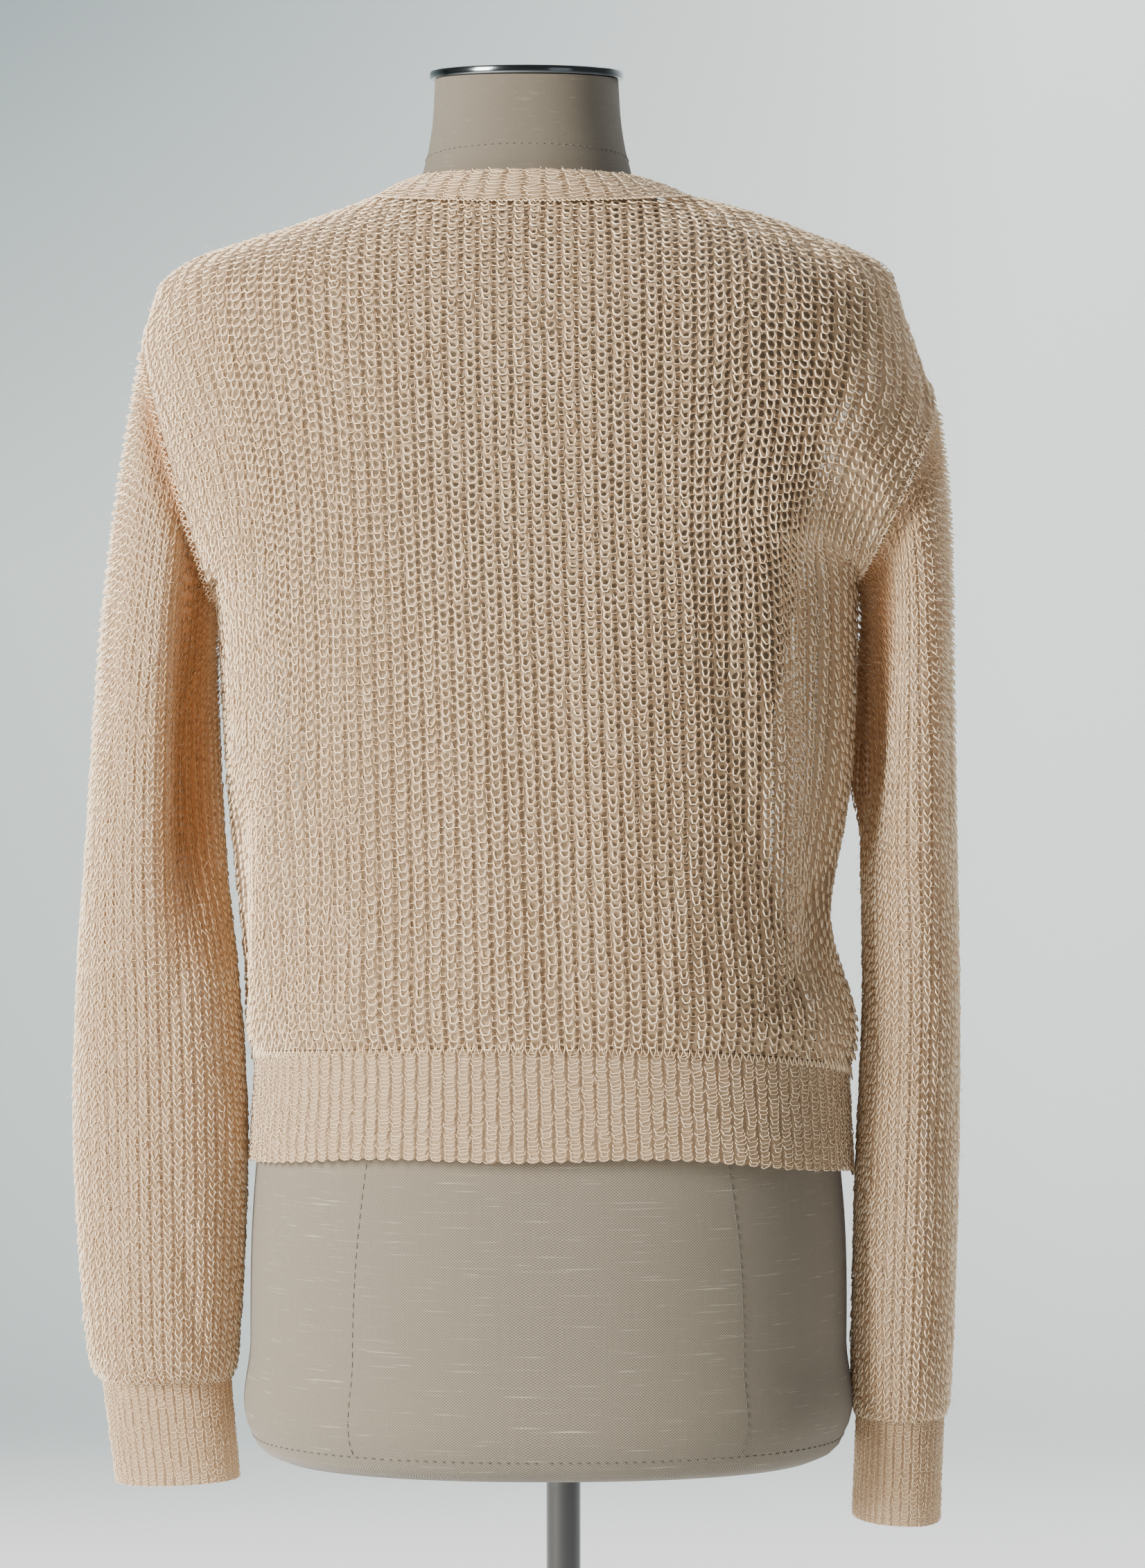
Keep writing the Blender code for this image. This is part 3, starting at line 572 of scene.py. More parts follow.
print("the back is", round(2000 * PANEL_HALF_WIDTH), "mm wide along the cloth")

# %% [markdown]
# ## Evenly knitted grids
# A coarse grid of rows says where the cloth is. Knitting needs a fine one whose rows are all as far
# apart as real rows, so each column is walked along its own length and read again at even steps,
# along a smooth curve through the coarse rows.


# %% Fine grids
def at_rows(grid, where):
    """Reads each column of a grid at fractional rows, on a smooth curve through its rows."""
    last = len(grid) - 1
    i = np.clip(np.floor(where).astype(int), 0, last - 1)
    columns = np.arange(grid.shape[1])[None, :]
    t = where - i
    if grid.ndim == 3:
        t = t[..., None]
    before, here, ahead, after = (
        grid[np.clip(i + k, 0, last), columns] for k in (-1, 0, 1, 2)
    )
    bend = 2 * before - 5 * here + 4 * ahead - after
    return here + 0.5 * t * (ahead - before + t * (bend + t * (3 * (here - ahead) + after - before)))


def even_rows(points, count):
    """The fractional rows at which each column is cut into equal lengths."""
    fine = np.linspace(0, len(points) - 1, 12 * (len(points) - 1) + 1)
    path = at_rows(points, np.repeat(fine[:, None], points.shape[1], axis=1))
    steps = np.linalg.norm(np.diff(path, axis=0), axis=2)
    walked = np.concatenate([np.zeros((1, points.shape[1])), np.cumsum(steps, axis=0)])
    wanted = np.linspace(0, 1, count)
    return np.stack(
        [np.interp(wanted * column[-1], column, fine) for column in walked.T], axis=1
    )


def read(grid, columns, rows):
    """Reads a fine grid between its columns and rows."""
    columns = np.clip(columns, 0, grid.shape[1] - 1.001)
    rows = np.clip(rows, 0, grid.shape[0] - 1.001)
    i, j = np.floor(rows).astype(int), np.floor(columns).astype(int)
    s, t = (rows - i)[..., None], (columns - j)[..., None]
    low = grid[i, j] * (1 - t) + grid[i, j + 1] * t
    high = grid[i + 1, j] * (1 - t) + grid[i + 1, j + 1] * t
    return low * (1 - s) + high * s


class Cloth:
    """One knitted piece: a fine grid of points with their outward directions, two columns to a rib."""

    def __init__(self, points, normals, ribs, rows, closed, open_share, recess_shade=None):
        self.points, self.normals = points, unit(normals)
        self.ribs, self.rows, self.closed = ribs, rows, closed
        self.open_share = open_share
        # How much painted shade each point gets where the cloth lies in a recess; none unless it is given.
        self.recess_shade = np.zeros(points.shape[:2]) if recess_shade is None else recess_shade

    def width(self):
        """Its widest row, along the cloth."""
        return np.linalg.norm(np.diff(self.points, axis=1), axis=2).sum(axis=1).max()

    def length(self):
        """Its longest column, along the cloth."""
        return np.linalg.norm(np.diff(self.points, axis=0), axis=2).sum(axis=0).max()

    def area(self):
        """Its surface on one side."""
        down = np.diff(self.points, axis=0)[:, :-1]
        over = np.diff(self.points, axis=1)[:-1]
        return np.linalg.norm(np.cross(down, over), axis=2).sum()


# Rows of stitches, and rows of the fine grid that carries them
PANEL_ROWS, PANEL_GRID = 100, 81
FOLD_AT_SEAM = 0.8
# How far the stitches are stretched open: low down, how much more high up, and the share of it that is
# left at the side seams
OPENNESS = {
    -1: {"low": 0.50, "more": 0.50, "side": 0.3},
    +1: {"low": 0.45, "more": 0.25, "side": 0.3},
    "sleeve": 0.3,
    "cuff": 0.05,
    "hem": 0.12,
    "neckband": 0.05,
}


def panel_cloth(facing, stitch_rows):
    """The back or the front as cloth, with its folds, its creases and the bloused part over the hem."""
    panel = Panel(facing)
    shares = np.linspace(-1, 1, 2 * PANEL_RIBS + 1)
    points, across, normals = panel.surface(shares)
    where = even_rows(points, PANEL_GRID)
    points, across, normals = (at_rows(grid, where) for grid in (points, across, normals))
    height = points[..., 2]
    hidden = ease(0.90, 1.0, np.abs(shares)) * np.ones_like(across)
    outwards = swell(across, height, shares, facing, BODY_FOLDS[facing])
    outwards += swell(across, height, shares, facing, BODY_CREASES[facing])
    sides = np.where(shares < 0, -1, 1)
    seam = np.array([sew_line(abs(s), facing, HEM["seam"], d) for s, d in zip(shares, sides)])
    outwards += follow(BLOUSE, "swell", np.maximum(height - seam, 0.0))
    points = points + unit(normals) * (outwards * (1 - FOLD_AT_SEAM * hidden))[..., None]
    points[..., 1] = facing * np.maximum(facing * points[..., 1], SEAM_GAP / 2)
    inner = 1 - ease(0.62, 0.85, np.abs(shares))
    if facing < 0:
        high = ease(0.50, 0.78, height) * (1 - ease(0.075, 0.16, np.abs(across - 0.05)) * 0.5)
    else:
        high = ease(0.5, 0.8, height)
    stretch = OPENNESS[facing]
    open_share = stretch["low"] + stretch["more"] * high
    open_share = open_share * (stretch["side"] + (1 - stretch["side"]) * inner)
    return Cloth(points, normals, PANEL_RIBS, stitch_rows, False, open_share)


back = panel_cloth(-1, PANEL_ROWS)
front = panel_cloth(+1, PANEL_ROWS)
for word, cloth in (("back", back), ("front", front)):
    print(word, "is", round(1000 * cloth.width()), "x", round(1000 * cloth.length()), "mm, area",
          round(cloth.area(), 4), "m2")

# %% [markdown]
# ## Sleeves and cuffs
# A knitted sleeve is one tube with no stiffness of its own, so its table gives a flattened ring at each
# height, by the outermost and the innermost point and the depth. The deep hollow that runs down from the
# armhole is the first fold of each side. Little light gets in there, and what does has passed through the
# peach yarn. So the finishes paint a dark orange shade along it and a softer one beside the armhole seam.
# This painted shade is kept with the cloth as its recess shade.


# %% Sleeves and cuffs
def rim_points(rows, k):
    """The outermost and the innermost point of a tube's section."""
    outer = np.array([rows["outer_x"][k], 0, rows["outer_z"][k]])
    inner = np.array([rows["inner_x"][k], 0, rows["inner_z"][k]])
    return outer, inner


def tube_rings(rows, turns, roundness):
    """Rings of a tube from its table, and their outward directions, evenly spaced round each ring."""
    fine = np.linspace(0, 2 * math.pi, 481)
    rings, normals = [], []
    for k in range(len(rows["depth"])):
        outer, inner = rim_points(rows, k)
        arm, centre = (outer - inner) / 2, (outer + inner) / 2
        forward = np.array([0, -rows["depth"][k], 0])
        cosine, sine = rounded(fine, roundness[k])
        ring = centre + cosine[:, None] * arm + sine[:, None] * forward
        along = walk(ring)
        wanted = turns * along[-1]
        points = read_along(wanted, along, ring)
        spacing = along[-1] / 400
        ahead = read_along((wanted + spacing) % along[-1], along, ring)
        behind = read_along((wanted - spacing) % along[-1], along, ring)
        flat = unit(np.cross(ahead - behind, np.cross(arm, forward)))
        outwards = np.sign(np.sum(flat * (points - centre), axis=1, keepdims=True))
        rings.append(points)
        normals.append(flat * outwards)
    return np.array(rings), np.array(normals)


SLEEVE_ROWS, SLEEVE_GRID = 106, 91
CUFF_ROWS, CUFF_GRID = 26, 13
RECESS_SHADE = {
    -1: {"shift": 0.02, "strength": 1.0, "beside_seam": 0.8},
    +1: {"shift": 0.08, "strength": 0.85, "beside_seam": 0.3},
}
RECESS_SHADE_WIDTH = 0.085
TROUGH = {"depth": 3.5 * MM, "from_seam": 13 * MM, "width": 9 * MM, "shade": 21 * MM}


def sleeve_cloth(side, stitch_rows):
    """A sleeve as cloth, with its folds, a trough beside the armhole seam, and painted shade in its hollow
    and beside the seam.
    """
    rows = SLEEVE[side]
    turns = np.arange(2 * SLEEVE_RIBS + 1) / (2 * SLEEVE_RIBS)
    roundness = [2] + [SLEEVE_ROUNDNESS] * (len(rows["depth"]) - 1)
    rings, normals = tube_rings(rows, turns, roundness)
    outer, inner = rim_points(rows, 0)
    slant = outer - inner
    rings[0] += unit(np.array([abs(slant[2]) * side, 0, -abs(slant[0])])) * SEAM_GAP
    where = even_rows(rings, SLEEVE_GRID)
    rings, normals = at_rows(rings, where), unit(at_rows(normals, where))
    height = rings[..., 2]
    push = np.zeros_like(height)
    recess_shade = None
    for row in SLEEVE_FOLDS[side]:
        fold = dict(zip(SLEEVE_COLUMNS, row))
        run = (fold["top"] - height) / (fold["top"] - fold["low"])
        centre = fold["turn_top"] + run * (fold["turn_low"] - fold["turn_top"])
        ends = ease(-0.3, 0.15, run) * (1 - ease(0.85, 1.3, run))
        push += fold["rise"] * np.exp(-(((turns - centre) / fold["width"]) ** 2)) * ends
        # The first fold's hollow gets painted shade, strongest along its middle.
        if recess_shade is None:
            recess_shade = np.exp(-(((turns - centre - RECESS_SHADE[side]["shift"]) / RECESS_SHADE_WIDTH) ** 4)) * ends
            recess_shade *= RECESS_SHADE[side]["strength"]
    near_seam = np.minimum(np.arange(SLEEVE_GRID), np.arange(SLEEVE_GRID)[::-1]) / 4
    push *= ease(0.0, 1.0, near_seam)[:, None]
    from_seam = np.linspace(0, 1, SLEEVE_GRID)[:, None] * (rows["outer_z"][0] - rows["outer_z"][-1])
    beside_seam = ease(0.05, 0.14, turns) * (1 - ease(0.42, 0.52, turns))
    hollow = np.exp(-(((from_seam - TROUGH["from_seam"]) / TROUGH["width"]) ** 2))
    push -= TROUGH["depth"] * hollow * beside_seam
    # Beside the armhole seam a softer painted shade is added.
    shade = np.exp(-((from_seam / TROUGH["shade"]) ** 2)) * beside_seam
    recess_shade = np.maximum(recess_shade, shade * RECESS_SHADE[side]["beside_seam"])
    rings = rings + normals * push[..., None]
    openness = np.full(height.shape, OPENNESS["sleeve"])
    return Cloth(rings[::-1], normals[::-1], SLEEVE_RIBS, stitch_rows, True, openness, recess_shade[::-1])


def cuff_cloth(side, stitch_rows):
    """A cuff as cloth, from one ring to the next."""
    turns = np.arange(2 * CUFF_RIBS + 1) / (2 * CUFF_RIBS)
    rings, normals = tube_rings(CUFF[side], turns, [SLEEVE_ROUNDNESS] * 2)
    where = np.repeat(np.linspace(0, 1, CUFF_GRID)[:, None], rings.shape[1], axis=1)
    rings, normals = at_rows(rings, where), unit(at_rows(normals, where))
    openness = np.full(where.shape, OPENNESS["cuff"])
    return Cloth(rings[::-1], normals[::-1], CUFF_RIBS, stitch_rows, True, openness)


sleeves = {side: sleeve_cloth(side, SLEEVE_ROWS) for side in (-1, 1)}
cuffs = {side: cuff_cloth(side, CUFF_ROWS) for side in (-1, 1)}
for side, cloth in sleeves.items():
    print("sleeve", side, round(1000 * cloth.width()), "mm round,", round(1000 * cloth.length()), "mm long,",
          round(cloth.area(), 4), "m2; cuff", round(1000 * cuffs[side].width()), "mm round")

# %% [markdown]
# ## Hem rib and neckband
# Both are bands of plain rib. The hem's lower edge is scalloped, because each rib bulges a little below
# its grooves, and it waves because nothing holds it. The neckband leans from the round seam to its
# smaller upper edge.

# %% Hem rib and neckband
SCALLOP = 1.3 * MM
HEM_WAVE = 1.2 * MM
HEM_LIFT = 0.5 * MM
NECK_BULGE = 0.9 * MM
HEM_ROWS, HEM_GRID = 27, 9
NECK_ROWS, NECK_GRID = 10, 7


def hem_cloth(facing, stitch_rows):
    """One half of the hem rib as cloth, from its waving edge up to the seam."""
    panel = Panel(facing)
    shares = np.linspace(-1, 1, 2 * HEM_RIBS + 1)
    points, normals = [], []
    for climb in np.linspace(0, 1, HEM_GRID):
        row, out = [], []
        for signed in shares:
            side = 1 if signed >= 0 else -1
            low = sew_line(abs(signed), facing, HEM["edge"], side)
            low += SCALLOP * (len(row) % 2 == 0) + HEM_WAVE * math.sin(9 * signed + facing)
            high = sew_line(abs(signed), facing, HEM["seam"], side) - SEAM_GAP / 2
            height = low + climb * (high - low)
            along = abs(signed) * section_length(height, side, facing)
            out.append(panel.outward(along, side, height))
            row.append(panel.at(along, side, height) + out[-1] * HEM_LIFT)
        points.append(row)
        normals.append(out)
    points, normals = np.array(points), np.array(normals)
    points[..., 1] = facing * np.maximum(facing * points[..., 1], SEAM_GAP / 2)
    openness = np.full(points.shape[:2], OPENNESS["hem"])
    return Cloth(points, normals, HEM_RIBS, stitch_rows, False, openness)


def neckband_cloth(stitch_rows):
    """The neckband as cloth: one ring of ribs from the neck seam up to its edge."""
    seam, edge, out = [], [], []
    for facing in (-1, 1):
        panel = Panel(facing)
        length = {side: section_length(NECK["seam"]["side"], side, facing) for side in (-1, 1)}
        edge_length = {side: section_length(NECK["edge"]["side"], side, facing) for side in (-1, 1)}
        for signed in -facing * np.linspace(-1, 1, 61)[:-1]:
            side = 1 if signed >= 0 else -1
            share = abs(signed)
            height = sew_line(share, facing, NECK["seam"], side) + NECK_GAP
            seam.append(panel.at(share * length[side], side, height))
            out.append(panel.outward(share * length[side], side, height))
            height = sew_line(share, facing, NECK["edge"], side)
            edge.append(panel.at(share * edge_length[side], side, height))
    seam, edge, out = (np.array(rows + rows[:1]) for rows in (seam, edge, out))
    walked = walk(seam)
    wanted = np.linspace(0, walked[-1], 2 * NECK_RIBS + 1)
    seam, edge, out = (read_along(wanted, walked, grid) for grid in (seam, edge, out))
    around = np.roll(edge[:-1], -1, axis=0) - np.roll(edge[:-1], 1, axis=0)
    edge_out = unit(np.cross(np.concatenate([around, around[:1]]), edge - seam))
    edge_out *= np.sign(np.sum(edge_out * (edge - edge.mean(axis=0)), axis=1, keepdims=True))
    climb = np.linspace(0, 1, NECK_GRID)[:, None, None]
    points = seam * (1 - climb) + edge * climb
    normals = unit(unit(out) * (1 - climb) + edge_out * climb)
    points = points + normals * (NECK_BULGE * np.sin(climb * math.pi))
    openness = np.full(points.shape[:2], OPENNESS["neckband"])
    return Cloth(points, normals, NECK_RIBS, stitch_rows, True, openness)


hems = {facing: hem_cloth(facing, HEM_ROWS) for facing in (-1, 1)}
neckband = neckband_cloth(NECK_ROWS)
print("hem rib", round(1000 * (hems[-1].width() + hems[1].width())), "mm round; neckband",
      round(1000 * neckband.width()), "mm round,", round(1000 * neckband.length()), "mm high")

# %% [markdown]
# ## A helper for materials
# Materials are node trees. One small function adds a node, sets its plain values and links its inputs,
# so that each finish below reads like a list of what is mixed with what. Colours are written as sRGB
# hex values, as a paint program shows them, and are turned to linear light here.


# %% Nodes and colours
def linear(hex_colour):
    """An sRGB hex colour as linear RGBA."""
    parts = [int(hex_colour[i:i + 2], 16) / 255 for i in (1, 3, 5)]
    return (*[c / 12.92 if c <= 0.04045 else ((c + 0.055) / 1.055) ** 2.4 for c in parts], 1.0)


def new_finish(name):
    """An empty node material with its output, and the tree to add nodes to."""
    material = bpy.data.materials.new(name)
    material.use_nodes = True
    tree = material.node_tree
    tree.nodes.clear()
    return material, tree


def node(tree, kind, settings=None, **inputs):
    """Adds a node. Settings are its own properties, inputs are values or sockets to link from."""
    made = tree.nodes.new("ShaderNode" + kind)
    for key, value in (settings or {}).items():
        setattr(made, key, value)
    for key, value in inputs.items():
        slot = made.inputs[int(key[1:])] if key[1:].isdigit() else made.inputs[key.replace("_", " ")]
        if isinstance(value, bpy.types.NodeSocket):
            tree.links.new(value, slot)
        elif isinstance(value, str):
            slot.default_value = linear(value)
        else:
            slot.default_value = value
    return made


print("a mid grey in linear light:", round(linear("#808080")[0], 3))

# %% [markdown]
# ## Brushed mohair yarn
# Mohair is goat hair, brushed so that its long fibres stand off the strand. To the eye it is a pale,
# matt thread with a soft bright rim where light grazes the fibres, so the shader is rough with a
# strong sheen, and a little of the light that reaches it goes through.
# Each stitch carries a number of its own that makes it a little lighter or more peach at random. The same
# number also carries painted shade: more peach for stitches in the grooves, and towards brown for stitches in
# the recesses.

# %% Yarn finish
YARN = {"panel": 0.95 * MM, "sleeve": 0.9 * MM, "cuff": 0.46 * MM, "band": 0.52 * MM}
FIBRE_SPACING = 0.9 * MM


def yarn_finish(name, light, deep):
    """Brushed mohair: matt threads between two tones, with painted shade that makes groove stitches more
    peach and recess stitches brown, and a pale rim.
    """
    material, tree = new_finish(name)
    tone_and_shade = node(tree, "Attribute", {"attribute_name": "tone_and_shade"}).outputs["Fac"]
    place = node(tree, "TexCoord").outputs["Object"]
    cloud = node(tree, "TexNoise", Vector=place, Scale=28.0, Detail=2.0, Roughness=0.6).outputs["Fac"]
    fibre = node(
        tree, "TexNoise", Vector=place, Scale=1 / FIBRE_SPACING, Detail=2.0, Roughness=0.7
    ).outputs["Fac"]
    drift = node(tree, "Math", {"operation": "MULTIPLY_ADD"}, _0=cloud, _1=0.8, _2=-0.4).outputs[0]
    mixed = node(tree, "Math", {"operation": "ADD", "use_clamp": True}, _0=tone_and_shade, _1=drift).outputs[0]
    # The stitches' own tone, with painted shade that tints the groove stitches towards the deeper colour.
    toned_and_groove_shaded = node(tree, "Mix", {"data_type": "RGBA"}, _0=mixed, _6=light, _7=deep).outputs[2]
    # Painted shade: a number above one darkens a stitch in a recess towards brown.
    painted_recess_shade = node(tree, "Math", {"operation": "SUBTRACT", "use_clamp": True}, _0=tone_and_shade, _1=1.0).outputs[0]
    colour = node(tree, "Mix", {"data_type": "RGBA"}, _0=painted_recess_shade, _6=toned_and_groove_shaded, _7="#B07A48").outputs[2]
    bump = node(tree, "Bump", Strength=0.35, Distance=0.2 * MM, Height=fibre).outputs[0]
    body = node(
        tree, "BsdfPrincipled", Base_Color=colour, Roughness=0.82, Normal=bump, Sheen_Weight=0.4,
        Sheen_Roughness=0.45, Sheen_Tint="#FFE6C8", Specular_IOR_Level=0.3,
    )
    through = node(tree, "BsdfTranslucent", Color=deep)
    both = node(tree, "MixShader", _0=0.12, _1=body.outputs[0], _2=through.outputs[0])
    node(tree, "OutputMaterial", Surface=both.outputs[0])
    return material


yarn = yarn_finish("brushed_mohair_yarn", "#FFEBCB", "#EECDA3")
print("yarn finish made, threads", [round(1000 * thick, 2) for thick in YARN.values()], "mm thick")

# %% [markdown]
# ## The veil of hair
# Between the threads the brushed hair closes part of each hole. Real hair that fine can't be modelled
# hair by hair over a whole garment, so a thin skin carries it: more solid where threads run, and open
# in the middle of each stitch. Its pattern is charted on the piece's own UV map, where one unit is one
# rib across and one row up, so every hole sits inside its stitch. A number on each point, "open",
# says how far the stitches are stretched apart there.


# %% Veil finish
def veil_finish(name, light, deep, groove_shade_colour, through_colour):
    """The skin between the threads: hair that is open in the middle of each stitch, with painted shade that
    darkens the grooves and the recesses.
    """
    material, tree = new_finish(name)
    uv = node(tree, "UVMap", {"uv_map": "stitches"}).outputs[0]
    place = node(tree, "SeparateXYZ", Vector=uv)
    rib, row = place.outputs[0], place.outputs[1]
    wobble = node(tree, "TexNoise", Vector=uv, Scale=1.3, Detail=3.0, Roughness=0.7).outputs["Fac"]
    ragged = node(tree, "Math", {"operation": "MULTIPLY_ADD"}, _0=wobble, _1=1.3, _2=-0.65).outputs[0]
    holes = []
    on_rib, in_groove = (0.0, -0.05, 0.22, 0.36), (0.5, 0.45, 0.20, 0.36)
    for shift_across, shift_up, half_width, half_height in (on_rib, in_groove):
        moved = node(tree, "Math", {"operation": "ADD"}, _0=rib, _1=shift_across).outputs[0]
        raised = node(tree, "Math", {"operation": "ADD"}, _0=row, _1=shift_up).outputs[0]
        across = node(tree, "Math", {"operation": "FRACT"}, _0=moved).outputs[0]
        up = node(tree, "Math", {"operation": "FRACT"}, _0=raised).outputs[0]
        wide = node(
            tree, "Math", {"operation": "MULTIPLY_ADD"}, _0=across, _1=1 / half_width, _2=-0.5 / half_width
        ).outputs[0]
        tall = node(
            tree, "Math", {"operation": "MULTIPLY_ADD"}, _0=up, _1=1 / half_height, _2=-0.5 / half_height
        ).outputs[0]
        wide2 = node(tree, "Math", {"operation": "MULTIPLY"}, _0=wide, _1=wide).outputs[0]
        away = node(tree, "Math", {"operation": "MULTIPLY_ADD"}, _0=tall, _1=tall, _2=wide2).outputs[0]
        reach = node(tree, "Math", {"operation": "ADD"}, _0=away, _1=ragged).outputs[0]
        holes.append(node(
            tree, "MapRange", {"interpolation_type": "SMOOTHSTEP"}, Value=reach, From_Min=1.2, From_Max=0.3,
            To_Min=0.0, To_Max=1.0,
        ).outputs[0])
    gaps = node(tree, "Math", {"operation": "MAXIMUM"}, _0=holes[0], _1=holes[1]).outputs[0]
    stretched = node(tree, "Attribute", {"attribute_name": "open"}).outputs["Fac"]
    clear = node(tree, "Math", {"operation": "MULTIPLY"}, _0=gaps, _1=stretched).outputs[0]
    dense = node(tree, "Math", {"operation": "SUBTRACT", "use_clamp": True}, _0=1.0, _1=clear).outputs[0]
    shade = node(tree, "TexNoise", Vector=uv, Scale=0.35, Detail=3.0, Roughness=0.6).outputs["Fac"]
    plain = node(tree, "Mix", {"data_type": "RGBA"}, _0=shade, _6=light, _7=deep).outputs[2]
    # Painted shade: the hair is darkened towards the grooves between the ribs.
    fold = node(tree, "Math", {"operation": "PINGPONG"}, _0=rib, _1=0.5).outputs[0]
    painted_groove_shade = node(
        tree, "MapRange", {"interpolation_type": "SMOOTHSTEP"}, Value=fold, From_Min=0.24, From_Max=0.03,
        To_Min=0.0, To_Max=0.8,
    ).outputs[0]
    groove_shaded = node(tree, "Mix", {"data_type": "RGBA"}, _0=painted_groove_shade, _6=plain, _7=groove_shade_colour).outputs[2]
    # Painted shade: in the recesses the hair is darkened to a deep orange brown.
    painted_recess_shade = node(tree, "Attribute", {"attribute_name": "recess_shade"}).outputs["Fac"]
    colour = node(tree, "Mix", {"data_type": "RGBA"}, _0=painted_recess_shade, _6=groove_shaded, _7="#945626").outputs[2]
    body = node(
        tree, "BsdfPrincipled", Base_Color=colour, Roughness=0.95, Sheen_Weight=0.5, Sheen_Roughness=0.6,
        Sheen_Tint="#FFEBD6", Specular_IOR_Level=0.15,
    )
    glow = node(tree, "BsdfTranslucent", Color=through_colour)
    cloth = node(tree, "MixShader", _0=0.42, _1=body.outputs[0], _2=glow.outputs[0])
    empty = node(tree, "BsdfTransparent")
    seen = node(tree, "MixShader", _0=dense, _1=empty.outputs[0], _2=cloth.outputs[0])
    node(tree, "OutputMaterial", Surface=seen.outputs[0])
    return material


# The third colour is the painted shade of the grooves.
veil = veil_finish("mohair_veil", "#C9B294", "#AB8F6F", "#856F58", "#C9A47A")
print("veil finish made with", len(veil.node_tree.nodes), "nodes")

# %% [markdown]
# ## Making a knitted skin
# The skin starts as Blender's own grid, one face to each small patch of cloth. Every corner is then
# moved to its place on the surface, with the ribs raised. A tube's two side edges are welded.


# %% Skin maker
SKIN_SINK = 0.7 * MM
WELD = 0.02 * MM


def add_piece(name, mesh, material):
    """Puts a mesh into the scene as a piece with its finish."""
    piece = bpy.data.objects.new(name, mesh)
    bpy.context.scene.collection.objects.link(piece)
    mesh.materials.append(material)
    return piece


def knit_skin(name, cloth):
    """A thin skin over a piece of cloth, with its ribs, its stitch chart as UV and its openness."""
    down, over = cloth.points.shape[0], cloth.points.shape[1]
    bm = bmesh.new()
    chart = bm.loops.layers.uv.new("stitches")
    bmesh.ops.create_grid(bm, x_segments=over - 1, y_segments=down - 1, size=1.0)
    open_layer = bm.verts.layers.float.new("open")
    # Painted shade of the recesses, which the veil's finish reads.
    recess_shade_layer = bm.verts.layers.float.new("recess_shade")
    lift = np.where(np.arange(over) % 2, RIB_HEIGHT, 0.0) - SKIN_SINK
    placed = cloth.points + cloth.normals * lift[None, :, None]
    column = {}
    for vert in bm.verts:
        i = round((vert.co.y + 1) / 2 * (down - 1))
        j = round((vert.co.x + 1) / 2 * (over - 1))
        column[vert] = (i, j)
        vert[open_layer] = float(cloth.open_share[i, j])
        vert[recess_shade_layer] = float(cloth.recess_shade[i, j])
    for face in bm.faces:
        for loop in face.loops:
            i, j = column[loop.vert]
            loop[chart].uv = (j / 2, i / (down - 1) * cloth.rows)
    for vert, (i, j) in column.items():
        vert.co = placed[i, j]
    if cloth.closed:
        bmesh.ops.remove_doubles(bm, verts=bm.verts[:], dist=WELD)
    bmesh.ops.recalc_face_normals(bm, faces=bm.faces[:])
    some = bm.faces[len(bm.faces) // 2]
    i, j = column.get(some.verts[0], (0, 0))
    if some.normal.dot(Vector(cloth.normals[i, j])) < 0:
        bmesh.ops.reverse_faces(bm, faces=bm.faces[:])
    mesh = bpy.data.meshes.new(name)
    bm.to_mesh(mesh)
    bm.free()
    mesh.shade_smooth()
    return add_piece(name, mesh, veil)


print("skins lie", SKIN_SINK / MM, "mm under the middle of the ribs")

# %% [markdown]
# ## Making the stitches
# One stitch is a short path: it comes up out of the groove beside its rib, dips in a cup over the row
# below and goes back down into the next groove. A three-sided thread is drawn along it, pointed at
# both ends so that it is closed. The path is charted once, in ribs and rows, and then an array of it
# is laid over the whole piece, each copy a little larger, smaller or off its place, as handwork is.

# %% Stitch shapes
CUP = np.array([
    (-0.17, 0.66, -0.3),
    (-0.27, 0.16, 1.0),
    (-0.14, -0.40, 1.5),
    (0.14, -0.40, 1.5),
    (0.27, 0.16, 1.0),
    (0.17, 0.66, -0.3),
])
SMALL_CUP = np.array([
    (-0.19, 0.66, 0.0),
    (-0.28, 0.10, 0.9),
    (0.00, -0.48, 1.2),
    (0.28, 0.10, 0.9),
    (0.19, 0.66, 0.0),
])
GROOVE_CUP = np.array([
    (-0.22, 0.62, -0.9),
    (-0.15, -0.34, 0.3),
    (0.15, -0.34, 0.3),
    (0.22, 0.62, -0.9),
])
LADDER_CUP = np.array([
    (-0.31, 0.62, 0.1),
    (-0.36, 0.12, 0.8),
    (-0.26, -0.40, 0.7),
    (0.26, -0.40, 0.7),
    (0.36, 0.12, 0.8),
    (0.31, 0.62, 0.1),
])
print("a cup stitch has", len(CUP), "path points, a ladder stitch", len(LADDER_CUP))

# %% [markdown]
# ## Threads
# A curve with a bevel would make one thread well, but tens of thousands of them are made far quicker as
# one joined mesh: the corners of every thread are worked out at once, and the same few faces are
# numbered on for each. Three sides are enough, because a thread is only a few pixels wide.

# %% Thread maker
THREAD_SIDES = 3


def thread_faces(steps):
    """The faces of one pointed thread: a fan of triangles at each end and quads between its rings."""
    rings = steps - 2
    first, last = 0, 1 + rings * THREAD_SIDES
    quads, fans = [], []
    for k in range(THREAD_SIDES):
        n = (k + 1) % THREAD_SIDES
        fans.append((first, 1 + n, 1 + k))
        for r in range(rings - 1):
            a = 1 + r * THREAD_SIDES
            b = a + THREAD_SIDES
            quads.append((a + k, a + n, b + n, b + k))
        end = 1 + (rings - 1) * THREAD_SIDES
        fans.append((end + k, end + n, last))
    return np.array(fans), np.array(quads)


